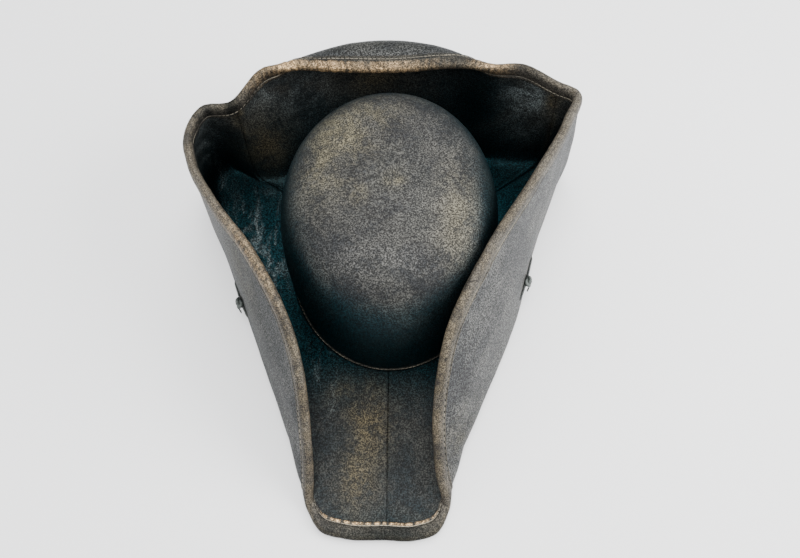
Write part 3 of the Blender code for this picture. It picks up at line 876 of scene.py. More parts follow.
@dataclass
class BrimSurface:
    """The brim's middle surface, on the same named places as the frame's layers."""

    stations: tuple[Station, ...] = (
        Station("front seam", (-2, -223), (-3, -239, 4.4)),
        Station("right toe", (20, -221), (22, -239, 4.5)),
        Station("right toe corner", (35, -214), (39, -232, 4.8)),
        Station("right toe side", (42, -206), (45, -218, 6.5)),
        Station("right lip", (52, -192), (38, -197, 20)),
        Station("right trough", (61, -175), (34, -170, 47), bow=1),
        Station("right throat", (79, -133), (39, -119, 98), bow=3),
        Station("right tie", (107, -65), (70, -53, 124), bow=3),
        Station("right gutter", (127, 4), (110, 11, 123), bow=2),
        Station("right shoulder", (150, 64), (143, 71, 117), bow=1),
        Station("right point", (162, 97), (151, 97, 115), bow=1),
        Station("right seam", (147, 104), (139, 105, 114)),
        Station("back right lobe", (112, 106), (109, 121, 118), bow=2),
        Station("back right dip", (84, 110), (85, 117, 120), bow=2, curl=8),
        Station("back right curl", (50, 117), (51, 114, 122), bow=6, curl=25),
        Station("back centre", (0, 121), (4, 109, 122), bow=8, curl=36),
        Station("back left curl", (-48, 113), (-48, 110, 122), bow=6, curl=30),
        Station("back left dip", (-78, 98), (-80, 113, 122), bow=4, curl=18),
        Station("back left lobe", (-104, 86), (-105, 113, 121), bow=3, curl=2),
        Station("left seam", (-128, 86), (-130, 94, 105), bow=1),
        Station("left lobe", (-157, 97), (-156, 90, 101), bow=1),
        Station("left point", (-171, 75), (-164, 68, 102), bow=1),
        Station("left shoulder", (-162, 34), (-158, 37, 104)),
        Station("left gutter", (-142, -10), (-133, -6, 113), bow=1),
        Station("left tie", (-124, -57), (-100, -49, 116), bow=3),
        Station("left throat", (-97, -127), (-66, -117, 92), bow=2),
        Station("left trough", (-79, -176), (-59, -170, 47), bow=1),
        Station("left lip", (-69, -196), (-59, -198, 19)),
        Station("left toe side", (-60, -207), (-61, -218, 6.5)),
        Station("left toe corner", (-52, -215), (-54, -231, 4.8)),
        Station("left toe", (-32, -222), (-34, -238, 4.5)),
    )
    half_stack: float = 2.3
    opening_ease: float = 1.2
    crown_bulge: float = 0.03
    floor_share: float = 0.4
    fold_share: float = 0.42
    wall_share: float = 0.6
    fold_limit: float = 38.0
    wall_shares: tuple[float, ...] = (0.3, 0.6, 0.85)
    bow_shares: tuple[float, ...] = (1.0, 0.6, 0.2)
    curl_shares: tuple[float, ...] = (0.5, 1.0, 0.7)
    crest_rise: float = 0.8
    edge_roll: float = 4.2
    steps: int = 90
    controls: int = 9
    nudge: float = 0.5

    def __post_init__(self) -> None:
        """Measure the way round the brim and read the crown's size from the frame."""
        self.folds = np.array([s.fold for s in self.stations], float)
        self.rims = np.array([s.rim for s in self.stations], float)
        self.shaping = np.array([(s.bow, s.curl) for s in self.stations], float)
        middles = (self.folds + self.rims[:, :2]) / 2
        spans = np.linalg.norm(np.roll(middles, -1, 0) - middles, axis=1)
        self.knots = np.concatenate([[0.0], np.cumsum(spans)])
        self.length = float(self.knots[-1])
        self.weights = self._spline_weights()
        low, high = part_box("crown_shell")
        crown = (np.array(high) - np.array(low))[:2] / MM / 2 / (1 + self.crown_bulge)
        self.opening = crown + self.opening_ease

    def _spline_weights(self) -> np.ndarray:
        """Weights of a clamped cubic B-spline's control points at even steps.

        Returns:
            One row of weights for each step along the curve.
        """
        degree = 3
        inner = np.linspace(0, 1, self.controls - degree + 1)
        knots = np.concatenate([[0.0] * degree, inner, [1.0] * degree])
        where = np.linspace(0, 1, self.steps + 1)
        basis = [(knots[i] <= where) & (where < knots[i + 1]) for i in range(len(knots) - 1)]
        basis = np.array(basis, float)
        basis[self.controls - 1, -1] = 1.0
        for order in range(1, degree + 1):
            raised = np.zeros((len(basis) - 1, len(where)))
            for i in range(len(raised)):
                rise = knots[i + order] - knots[i]
                fall = knots[i + order + 1] - knots[i + 1]
                if rise > 0:
                    raised[i] += (where - knots[i]) / rise * basis[i]
                if fall > 0:
                    raised[i] += (knots[i + order + 1] - where) / fall * basis[i + 1]
            basis = raised
        return basis.T

    def where(self, place: str) -> float:
        """Distance round the brim to a named station."""
        names = [station.place for station in self.stations]
        return float(self.knots[names.index(place)])

    def between(self, values: np.ndarray, distance: float) -> np.ndarray:
        """A smooth closed curve through one value per station, read at a distance round.

        Args:
            values: one value, or a row of them, per station.
            distance: how far round the brim, in millimetres.

        Returns:
            The value at that distance.
        """
        distance = distance % self.length
        count = len(values)
        i = min(int(np.searchsorted(self.knots, distance, side="right")) - 1, count - 1)
        span = self.knots[i + 1] - self.knots[i]
        before = self.knots[i] - self.knots[i - 1] if i else self.knots[-1] - self.knots[-2]
        after = self.knots[i + 2] - self.knots[i + 1] if i + 2 <= count else self.knots[1]
        a, b = values[i - 1], values[i]
        c, d = values[(i + 1) % count], values[(i + 2) % count]
        rise = (c - b) / span
        leave = ((b - a) / before * span + rise * before) / (before + span)
        arrive = (rise * after + (d - c) / after * span) / (after + span)
        t = (distance - self.knots[i]) / span
        return (
            (2 * t**3 - 3 * t**2 + 1) * b
            + (t**3 - 2 * t**2 + t) * span * leave
            + (3 * t**2 - 2 * t**3) * c
            + (t**3 - t**2) * span * arrive
        )

    def profile(self, distance: float) -> np.ndarray:
        """Points from the crown to the rim at one distance round the brim.

        Args:
            distance: how far round the brim, in millimetres.

        Returns:
            The points in millimetres, from the crown outward.
        """
        fold_xy = self.between(self.folds, distance)
        rim = self.between(self.rims, distance)
        bow, curl = self.between(self.shaping, distance)
        along = unit(self.between(self.folds, distance + self.nudge) - fold_xy)
        outward = np.array([along[1], -along[0], 0.0])
        foot = np.array([*(unit(fold_xy / self.opening) * self.opening), self.half_stack])
        fold = np.array([*fold_xy, self.half_stack])
        reach, wall = fold - foot, rim - fold
        most = [self.fold_share * np.linalg.norm(reach), self.wall_share * np.linalg.norm(wall)]
        turn = min(*most, self.fold_limit)
        above = fold + turn * unit(wall)
        rest = rim - above
        crest = np.array([0.0, 0.0, self.crest_rise * curl])
        points = [foot, foot + self.floor_share * reach, fold - turn * unit(reach), fold, above]
        shares = zip(self.wall_shares, self.bow_shares, self.curl_shares, (0.0, 1.0, 1.0))
        for share, bowed, curled, lifted in shares:
            lean = (bowed * bow + curled * curl) * outward
            points.append(above + share * rest + lean + lifted * crest)
        points.append(rim)
        return self.weights @ np.array(points)

    def sheet(self, distances: np.ndarray,
              rule: Callable[[float], np.ndarray]) -> tuple[np.ndarray, np.ndarray, np.ndarray]:
        """Points of the middle surface on a grid.

        Args:
            distances: the distances round the brim, one for each column.
            rule: gives a column's runs from the crown, from its run to the layers' edge.

        Returns:
            The points, the way on to the rim from each column's edge, and the runs.
        """
        points, onward, runs = [], [], []
        for distance in distances:
            curve = self.profile(distance)
            steps = np.linalg.norm(np.diff(curve, axis=0), axis=1)
            run = np.concatenate([[0.0], np.cumsum(steps)])
            last = run[-1] - self.edge_roll
            wanted = rule(last)
            points.append([[np.interp(r, run, curve[:, axis]) for axis in range(3)]
                           for r in wanted])
            edge = [np.interp(last, run, curve[:, axis]) for axis in range(3)]
            onward.append(unit(curve[-1] - np.array(edge)))
            runs.append(last - wanted)
        return np.array(points), np.array(onward), np.array(runs)

    @staticmethod
    def normals(points: np.ndarray, closed: bool) -> np.ndarray:
        """Normals of the upper face at a grid's points.

        Args:
            points: the grid of points, column by column.
            closed: whether the last column meets the first.

        Returns:
            A unit vector at each point.
        """
        outward = np.gradient(points, axis=1)
        if closed:
            ahead = np.roll(points, -1, 0) - np.roll(points, 1, 0)
        else:
            ahead = np.gradient(points, axis=0)
        return unit(np.cross(outward, ahead))


SEAM_ENDS = {
    Side.RIGHT: ("front seam", "right seam"),
    Side.BACK: ("right seam", "left seam"),
    Side.LEFT: ("left seam", "front seam"),
}


class Gather(NamedTuple):
    """Puckered cloth by the rim: its station, how far it spreads and how high it stands."""

    place: str
    reach: float
    height: float


class Seam(NamedTuple):
    """How a seam shows: its station, its valley, the puffed cloth and the turned allowance."""

    place: str
    valley: float
    puff: float
    ridge: float


@dataclass
class BrimSheets:
    """The suede on both faces of the brim, a sheet for each panel."""

    surface: BrimSurface
    column_step: float = 1.5
    wall_rows: int = 54
    rim_rows: int = 14
    rim_band: float = 18.0
    skin: float = 0.8
    foam: float = 2.0
    seam_gap: float = 0.01
    sink_limit: float = 0.35
    broad_size: float = 52.0
    broad_height: float = 0.75
    soft_size: float = 17.0
    soft_height: float = 0.28
    gather_size: float = 5.2
    gather_reach: float = 9.0
    gather_start: float = 7.0
    gather_least: float = 0.22
    gathers: tuple[Gather, ...] = (
        Gather("back centre", reach=62.0, height=0.95),
        Gather("right seam", reach=15.0, height=1.30),
        Gather("left seam", reach=13.0, height=1.20),
        Gather("front seam", reach=9.0, height=0.40),
    )
    seams: tuple[Seam, ...] = (
        Seam("front seam", valley=0.10, puff=0.16, ridge=0.0),
        Seam("right seam", valley=0.35, puff=0.50, ridge=0.5),
        Seam("left seam", valley=0.35, puff=0.55, ridge=1.1),
    )
    valley_width: float = 0.9
    puff_away: float = 4.5
    puff_width: float = 3.0
    ridge_away: float = 2.4
    ridge_width: float = 1.7
    top_seed: float = 3.7
    under_seed: float = 19.3
    soft_seed: float = 5.0
    # Painted shade on the brim's inner face: darker low down and toward the back, eased under tan
    # and pale patches, capped at deepest.
    shade_heights: Span = (14.0, 96.0)
    shade_behind: Span = (-150.0, -88.0)
    front_shade: float = 0.12
    behind_shade: float = 0.80
    patch_clears: float = 0.80
    deepest: float = 0.96
    allowance_half: float = 2.6
    allowance_low: float = 1.05
    allowance_high: float = 1.40
    allowance_columns: int = 7
    # Painted shade over the whole seam allowance, which lies under its seam.
    allowance_shade: float = 0.9

    def rows(self, last: float) -> np.ndarray:
        """Runs of one column's rows, closer together near the rim."""
        wall = np.linspace(0.0, last - self.rim_band, self.wall_rows, endpoint=False)
        return np.concatenate([wall, np.linspace(last - self.rim_band, last, self.rim_rows)])

    def gather_strength(self, distances: np.ndarray) -> np.ndarray:
        """How high the gathers stand along the rim, in millimetres.

        Args:
            distances: the columns' distances round the brim.

        Returns:
            One height per column.
        """
        strength = np.full(len(distances), self.gather_least)
        for gather in self.gathers:
            away = np.abs(distances - self.surface.where(gather.place))
            away = np.minimum(away, self.surface.length - away)
            strength = np.maximum(strength, gather.height * np.exp(-(away / gather.reach) ** 2))
        return strength

    def seam_relief(self, distances: np.ndarray, points: np.ndarray) -> np.ndarray:
        """The valley, the puffed cloth and the turned allowance beside each seam.

        Args:
            distances: the columns' distances round the brim.
            points: the grid of points.

        Returns:
            A height in millimetres at each point.
        """
        relief = np.zeros(points.shape[:2])
        for seam in self.seams:
            away = distances - self.surface.where(seam.place)
            away -= self.surface.length * np.round(away / self.surface.length)
            line = -seam.valley * np.exp(-(away / self.valley_width) ** 2)
            line += seam.puff * np.exp(-((np.abs(away) - self.puff_away) / self.puff_width) ** 2)
            line += seam.ridge * np.exp(-((away + self.ridge_away) / self.ridge_width) ** 2)
            relief += line[:, None]
        return relief

    def relief(self, distances: np.ndarray, points: np.ndarray, back: np.ndarray,
               face: Face) -> np.ndarray:
        """How far the cloth stands off its flat place, in millimetres.

        Args:
            distances: the columns' distances round the brim.
            points: the grid of points.
            back: each point's run back from the layers' edge.
            face: the face of the brim.

        Returns:
            Heights, never so low that the cloth would sink into the core.
        """
        seed = self.top_seed if face is Face.TOP else self.under_seed
        heights = self.broad_height * rough(points, self.broad_size, seed)
        heights += self.soft_height * rough(points, self.soft_size, seed + self.soft_seed)
        heights += self.seam_relief(distances, points)
        strength = self.gather_strength(distances)
        phase = np.stack([distances, 0 * distances, 0 * distances], axis=1)
        waves = rough(phase, self.gather_size, seed)
        waves = waves + 0.5 * rough(phase, self.gather_size / 2, seed)
        fade = np.exp(-np.maximum(back - self.gather_start, 0.0) / self.gather_reach)
        heights += (strength * waves)[:, None] * fade
        return np.maximum(heights, -self.sink_limit)

    def dyes_and_painted_light(self, points: np.ndarray, face: Face) -> dict[str, np.ndarray]:
        """The colour marks of one sheet's points, stains and painted light and shade alike, as
        vertex attributes.

        Args:
            points: the sheet's outer points in millimetres.
            face: the face of the brim it covers.

        Returns:
            A share from 0 to 1 at each point, by the mark's name.
        """
        if face is Face.UNDER:
            return {dye.value: share for dye, share in painted_and_dyed(points, OUTER_PATCHES).items()}
        shares = painted_and_dyed(points, BRIM_PATCHES)
        # Painted shade: darker low in the trough and more so toward the back, where the walls and
        # crown keep the light off.
        low = 1 - smooth_step(points[..., 2], *self.shade_heights)
        behind = smooth_step(points[..., 1], *self.shade_behind)
        shade = low * (self.front_shade + self.behind_shade * behind)
        clear = 1 - self.patch_clears * np.maximum(shares[Dye.TAN], shares[Dye.PALE])
        deep = np.maximum(shares[Dye.DEEP], shade) * clear
        shares[Dye.DEEP] = np.clip(deep, 0.0, self.deepest)
        return {dye.value: share for dye, share in shares.items()}

    def build(self, shop: Workshop) -> None:
        """Make the six sheets and the allowances under the three seams.

        Args:
            shop: the workshop that makes the pieces.
        """
        for side, (start, end) in SEAM_ENDS.items():
            first = self.surface.where(start) + self.seam_gap
            last = (self.surface.where(end) or self.surface.length) - self.seam_gap
            count = int((last - first) / self.column_step)
            distances = np.linspace(first, last, count)
            points, _, back = self.surface.sheet(distances, self.rows)
            normals = self.surface.normals(points, closed=False)
            self.make_core(shop, side, points, normals)
            for face in Face:
                self.make_sheet(shop, side, face, distances, points, normals, back)
        for start, _ in SEAM_ENDS.values():
            self.make_allowance(shop, start)

    def make_core(self, shop: Workshop, side: Side, points: np.ndarray,
                  normals: np.ndarray) -> None:
        """Make the foam of one panel, which stops short of its seams and its edge.

        Args:
            shop: the workshop that makes the pieces.
            side: the panel.
            points: the grid of the brim's middle surface.
            normals: its normals.
        """
        inside = (slice(1, -1), slice(0, -1))
        points, normals = points[inside], normals[inside]
        verts = np.concatenate([(points + sign * self.foam / 2 * normals).reshape(-1, 3)
                                for sign in (1, -1)])
        faces = shell_faces(*points.shape[:2], False)
        core = shop.mesh(f"brim_foam_{side.value}", verts, faces, CORE_FOAM)
        shop.register(core, "foam", f"brim_core_{side.value}")
        self.declare(core, points, [f"brim_suede_under_{side.value}"])

    @staticmethod
    def declare(piece: bpy.types.Object, points: np.ndarray, rests_on: Sequence[str]) -> None:
        """Take a sheet, the grid it was cut for and what it rests on, and do nothing with them.

        Args:
            piece: the sheet; not used.
            points: the grid it was cut for, in millimetres; not used.
            rests_on: the pieces it lies on; not used.
        """

    def make_sheet(self, shop: Workshop, side: Side, face: Face, distances: np.ndarray,
                   points: np.ndarray, normals: np.ndarray, back: np.ndarray) -> None:
        """Make one sheet of suede.

        Args:
            shop: the workshop that makes the pieces.
            side: the panel.
            face: the face of the brim it covers.
            distances: the columns' distances round the brim.
            points: the grid of the brim's middle surface.
            normals: its normals.
            back: each point's run back from the layers' edge.
        """
        outside = self.surface.half_stack + self.relief(distances, points, back, face)
        outer = points + face.value * outside[..., None] * normals
        inner = points + face.value * (outside - self.skin)[..., None] * normals
        outer[..., 2] = np.maximum(outer[..., 2], 0.0)
        upper, lower = (outer, inner) if face is Face.TOP else (inner, outer)
        columns, rows = points.shape[:2]
        verts = np.concatenate([upper.reshape(-1, 3), lower.reshape(-1, 3)])
        dyes_and_painted_light = self.dyes_and_painted_light(outer, face)
        attributes = {key: np.concatenate([v.ravel(), v.ravel()]) for key, v in dyes_and_painted_light.items()}
        # The inner face takes the darker copy of the suede and the outer face the lighter one:
        # painted shade and painted light.
        finish = INNER_SUEDE_SHADED if face is Face.TOP else OUTER_SUEDE_LIT
        name = f"brim_suede_{face.layer}_{side.value}"
        piece = shop.mesh(name, verts, shell_faces(columns, rows, False), finish, attributes)
        slot = "inner_suede" if face is Face.TOP else "outer_suede"
        shop.register(piece, slot, f"brim_{face.layer}_{side.value}")
        self.declare(piece, points, [f"brim_foam_{side.value}"])

    def make_allowance(self, shop: Workshop, seam: str) -> None:
        """Make the strip of turned cloth that lies under one seam.

        Args:
            shop: the workshop that makes the pieces.
            seam: the seam's station.
        """
        middle = self.surface.where(seam)
        distances = np.linspace(middle - self.allowance_half, middle + self.allowance_half,
                                self.allowance_columns)
        points, _, _ = self.surface.sheet(distances, self.rows)
        normals = self.surface.normals(points, closed=False)
        columns, rows = points.shape[:2]
        verts = np.concatenate([(points + height * normals).reshape(-1, 3)
                                for height in (self.allowance_high, self.allowance_low)])
        name = "seam_allowance_" + seam.split()[0]
        # The allowance is painted in shade all over and takes no other mark.
        dyes_and_painted_light = {dye.value: np.full(len(verts), self.allowance_shade if dye is Dye.DEEP else 0.0)
                for dye in Dye}
        piece = shop.mesh(name, verts, shell_faces(columns, rows, False), INNER_SUEDE_SHADED, dyes_and_painted_light)
        shop.register(piece, "inner_suede")


# ---- stitching ---------------------------------------------------------------------
@dataclass
class Stitch:
    """One visible stitch, modelled once and copied along every seam line."""

    length: float = 2.5
    radius: float = 0.34
    dive: float = 0.42
    sides: int = 8
    end_facing: float = 0.9
    end_rings: tuple[Span, ...] = ((0.55, 0.86), (0.45, 0.55))

    def model(self) -> tuple[np.ndarray, list[tuple[int, ...]]]:
        """Model the stitch along +X with its rounded ends turned down into the cloth.

        Returns:
            Its vertices in millimetres and its faces.
        """
        bpy.ops.object.select_all(action="DESELECT")
        bpy.ops.mesh.primitive_cylinder_add(
            vertices=self.sides, radius=self.radius * MM, depth=self.length * MM,
            rotation=(0.0, math.pi / 2, 0.0))
        piece = bpy.context.active_object
        bpy.ops.object.transform_apply(location=True, rotation=True, scale=True)
        for sign in (-1.0, 1.0):
            bpy.ops.object.mode_set(mode="EDIT")
            bpy.ops.mesh.select_mode(type="FACE")
            bpy.ops.mesh.select_all(action="DESELECT")
            bpy.ops.object.mode_set(mode="OBJECT")
            for face in piece.data.polygons:
                face.select = face.normal.x * sign > self.end_facing
            bpy.ops.object.mode_set(mode="EDIT")
            for share, size in self.end_rings:
                bpy.ops.mesh.extrude_region_move(TRANSFORM_OT_translate={
                    "value": (sign * share * self.dive * MM, 0.0, -share * self.dive * MM)})
                bpy.ops.transform.resize(value=(size, size, size))
            bpy.ops.object.mode_set(mode="OBJECT")
        verts = np.array([v.co for v in piece.data.vertices]) / MM
        faces = [tuple(face.vertices) for face in piece.data.polygons]
        bpy.data.objects.remove(piece, do_unlink=True)
        return self.in_order(verts, faces)

    @staticmethod
    def in_order(verts: np.ndarray,
                 faces: list[tuple[int, ...]]) -> tuple[np.ndarray, list[tuple[int, ...]]]:
        """Number a mesh by its places, because extruding numbers it differently on each run.

        Args:
            verts: its vertices in millimetres.
            faces: its faces, as vertex numbers.

        Returns:
            The same vertices and faces, sorted.
        """
        order = np.lexsort(np.round(verts, 5).T)
        rank = np.argsort(order)
        renumbered = []
        for face in faces:
            corners = [int(rank[corner]) for corner in face]
            first = corners.index(min(corners))
            renumbered.append(tuple(corners[first:] + corners[:first]))
        return verts[order], sorted(renumbered)

    def run(self, shop: Workshop, name: str, middles: np.ndarray, along: np.ndarray,
            up: np.ndarray) -> bpy.types.Object:
        """Copy the stitch along a line.

        Args:
            shop: the workshop that makes the piece.
            name: the piece's name.
            middles: the middle of each stitch, in millimetres.
            along: the way that each stitch runs.
            up: the way out of the cloth at each stitch.

        Returns:
            All the line's stitches as one piece.
        """
        verts, faces = self.model()
        side = unit(np.cross(up, along))
        axes = np.stack([along, side, np.cross(along, side)], axis=1)
        points = (verts @ axes + middles[:, None]).reshape(-1, 3)
        placed = [tuple(v + i * len(verts) for v in face)
                  for i in range(len(middles)) for face in faces]
        dyes_and_painted_light = {dye.value: share for dye, share in painted_and_dyed(points, THREAD_PATCHES).items()}
        return shop.mesh(name, points, placed, STITCH_THREAD, dyes_and_painted_light)


# ---- bound edge --------------------------------------------------------------------
class Turn(NamedTuple):
    """A named point of the binding's outline: its run past the layers' edge and its height."""

    place: str
    run: float
    height: float


@dataclass
class BoundEdge:
    """The suede binding folded over the rim, stitched down on both faces."""

    surface: BrimSurface
    column_step: float = 0.9
    stitch_pitch: float = 3.3
    stitch_back: float = 6.2
    stitch_lift: float = 3.12
    wander: float = 0.35
    swell: float = 0.07
    gather: float = 0.16
    crest: float = 3.4
    gold_start: float = -3.0
    inner_gold: float = 0.45
    outer_gold: float = 0.10
    pucker_size: float = 2.4
    flap_start: float = -6.9
    # Painted highlight: gold dashes along the front hem's flap.
    hem_highlight: float = 0.72
    dash_size: float = 3.4
    dimple: float = 0.22
    dimple_width: float = 1.1
    # Painted shade in the stitch groove: its width and its strength.
    groove_width: float = 0.8
    groove_shade: float = 0.92
    # Painted highlight along the crest of the roll, laid through the tan mark.
    crest_width: float = 1.8
    crest_highlight: float = 0.35
    swell_size: float = 13.0
    ripple_size: float = 4.0
    gather_size: float = 3.4
    gather_reach: float = 80.0
    wander_size: float = 21.0
    swell_seed: float = 2.0
    ripple_seed: float = 8.0
    gather_seed: float = 21.0
    wander_seed: float = 30.0
    pucker_seed: float = 5.0
    dash_seed: float = 12.0
    wander_start: float = -7.0
    lowest: float = 0.3
    pucker_span: Span = (-0.30, 0.25)
    dash_span: Span = (-0.25, 0.22)
    hem_span: Span = (216.0, 226.0)
    stitch_reach: float = 0.5
    outline: tuple[Turn, ...] = (
        Turn("flap foot", -8.6, 2.45),
        Turn("flap edge", -8.95, 2.75),
        Turn("flap corner", -8.7, 3.2),
        Turn("flap top", -7.8, 3.5),
        Turn("groove bank, by the flap", -7.0, 3.38),
        Turn("stitch groove", -6.2, 2.98),
        Turn("groove bank, by the edge", -5.4, 3.38),
        Turn("swell, rising", -4.3, 3.75),
        Turn("swell, top", -2.6, 3.98),
        Turn("layers' edge", -0.8, 3.92),
        Turn("roll, start", 1.0, 3.6),
        Turn("roll, shoulder", 2.6, 2.85),
        Turn("roll, bend", 3.8, 1.6),
        Turn("roll, outermost", 4.25, 0.0),
    )
    lining: tuple[Turn, ...] = (
        Turn("inside foot", -4.0, 2.42),
        Turn("inside, by the layers' edge", 0.0, 2.4),
        Turn("inside bend", 2.3, 1.7),
        Turn("inside, outermost", 3.3, 0.0),
    )

    def distances(self, step: float) -> np.ndarray:
        """Even distances round the whole rim."""
        return np.linspace(0.0, self.surface.length, int(self.surface.length / step), False)

    def frames(self, distances: np.ndarray,
               back: np.ndarray) -> tuple[np.ndarray, np.ndarray, np.ndarray]:
        """Points and normals at runs from the layers' edge, and the way on past it.

        Args:
            distances: the distances round the brim, one for each column.
            back: the runs, counted from the layers' edge.

        Returns:
            The points, their normals and each column's way on past the edge.
        """
        points, onward, _ = self.surface.sheet(distances, lambda last: last + back)
        return points, self.surface.normals(points, closed=True), onward

    def gold_share(self, back: float, normal: float) -> float:
        """How much of the gold wear shows at a point of the outline: most by the outer edge.

        Args:
            back: the point's run past the layers' edge.
            normal: its height over the brim's middle surface.

        Returns:
            A share from 0 to 1.
        """
        if normal > 0:
            return self.inner_gold
        return 1.0 if back > self.gold_start else self.outer_gold

    def section(self) -> list[tuple[float, float]]:
        """The whole outline of the binding, round its outside and back through its inside.

        Returns:
            A run past the layers' edge and a height for each point.
        """
        upper = [(turn.run, turn.height) for turn in self.outline]
        lower = [(b, -n) for b, n in reversed(upper[:-1])]
        lining = [(turn.run, turn.height) for turn in self.lining]
        inside = [(b, -n) for b, n in lining] + list(reversed(lining[:-1]))
        return upper + lower + inside

    def build(self, shop: Workshop) -> None:
        """Make the binding and its two lines of stitches.

        Args:
            shop: the workshop that makes the pieces.
        """
        distances = self.distances(self.column_step)
        section = self.section()
        back = np.unique([min(b, 0.0) for b, _ in section])
        points, normals, onward = self.frames(distances, back)
        phase = np.stack([distances, 0 * distances, 0 * distances], axis=1)
        fat = (1 + self.swell * rough(phase, self.swell_size, self.swell_seed)
               + 0.5 * self.swell * rough(phase, self.ripple_size, self.ripple_seed))
        away = np.abs(distances - self.surface.where("back left curl"))
        gathers = rough(phase, self.gather_size, self.gather_seed)
        fat += self.gather * np.exp(-(away / self.gather_reach) ** 2) * gathers
        drift = self.wander * rough(phase, self.wander_size, self.wander_seed)
        pull = np.cos(2 * math.pi * distances / self.stitch_pitch)
        verts = []
        for b, n in section:
            k = int(np.searchsorted(back, min(b, 0.0)))
            near_stitch = math.exp(-((b + self.stitch_back) / self.dimple_width) ** 2)
            lift = n * fat - math.copysign(self.dimple, n) * near_stitch * (0.5 + 0.5 * pull)
            beyond = max(b, 0.0) * fat + (drift * (b < self.wander_start))
            verts.append(points[:, k] + beyond[:, None] * onward + lift[:, None] * normals[:, k])
        verts = np.stack(verts, axis=1)
        verts[..., 2] = np.maximum(verts[..., 2], self.lowest)
        flat = verts.reshape(-1, 3)
        dyes_and_painted_light = self.dyes_and_painted_light(flat, section, phase)
        faces = [face[::-1] for face in tube_faces(len(distances), len(section))]
        piece = shop.mesh("binding_suede", flat, faces, BINDING_SUEDE, dyes_and_painted_light)
        shop.register(piece, "binding", "edge_binding")
        self.build_stitches(shop)

    def dyes_and_painted_light(self, points: np.ndarray, section: Sequence[tuple[float, float]],
             phase: np.ndarray) -> dict[str, np.ndarray]:
        """The colour marks of the binding's points, painted shade and highlights included, as
        vertex attributes.

        Args:
            points: the points in millimetres, outline by outline.
            section: the whole outline of the binding.
            phase: a place for each outline, along a line as long as the rim.

        Returns:
            A share from 0 to 1 at each point, for every mark.
        """
        columns = len(phase)
        dyes_and_painted_light = {dye.value: share for dye, share in painted_and_dyed(points, EDGE_PATCHES).items()}
        # Painted shade: the stitch groove is darkened.
        groove = np.tile([math.exp(-((b + self.stitch_back) / self.groove_width) ** 2)
                          for b, _ in section], columns)
        dyes_and_painted_light[Dye.DEEP.value] = np.maximum(dyes_and_painted_light[Dye.DEEP.value], self.groove_shade * groove)
        puckers = smooth_step(rough(phase, self.pucker_size, self.pucker_seed), *self.pucker_span)
        puckers = 0.30 + 0.70 * puckers
        band = np.tile([self.gold_share(b, n) for b, n in section], columns)
        dyes_and_painted_light[Dye.GOLD.value] *= (1 - groove) * band * np.repeat(puckers, len(section))
        # Painted highlight: the crest of the roll is lightened through the tan mark.
        crest = np.tile([math.exp(-((b - self.crest) / self.crest_width) ** 2)
                         for b, _ in section], columns)
        tan = np.clip(dyes_and_painted_light[Dye.TAN.value] + self.crest_highlight * crest, 0.0, 1.0)
        dyes_and_painted_light[Dye.TAN.value] = tan * (1 - groove)
        # Painted highlight: gold dashes on the front hem's flap, where light catches the stitched
        # ridge.
        flap = np.array([1.0 if b < self.flap_start and n > 0 else 0.0 for b, n in section])
        dashes = smooth_step(rough(phase, self.dash_size, self.dash_seed), *self.dash_span)
        hem = smooth_step(-points[:, 1], *self.hem_span)
        hem_glints = self.hem_highlight * hem * (dashes[:, None] * flap[None, :]).ravel()
        dyes_and_painted_light[Dye.GOLD.value] = np.maximum(dyes_and_painted_light[Dye.GOLD.value], hem_glints)
        return dyes_and_painted_light

    def build_stitches(self, shop: Workshop) -> None:
        """Make the stitch lines along the binding's two faces.

        Args:
            shop: the workshop that makes the pieces.
        """
        distances = self.distances(self.stitch_pitch)
        back = np.array([-self.stitch_back - self.stitch_reach, -self.stitch_back,
                         -self.stitch_back + self.stitch_reach])
        points, normals, _ = self.frames(distances, back)
        middle, up = points[:, 1], normals[:, 1]
        along = unit(np.roll(middle, -1, 0) - np.roll(middle, 1, 0))
        for face in Face:
            stitch = Stitch()
            place = middle + face.value * self.stitch_lift * up
            piece = stitch.run(shop, f"binding_stitches_{face.layer}", place, along,
                               face.value * up)
            shop.register(piece, "binding")


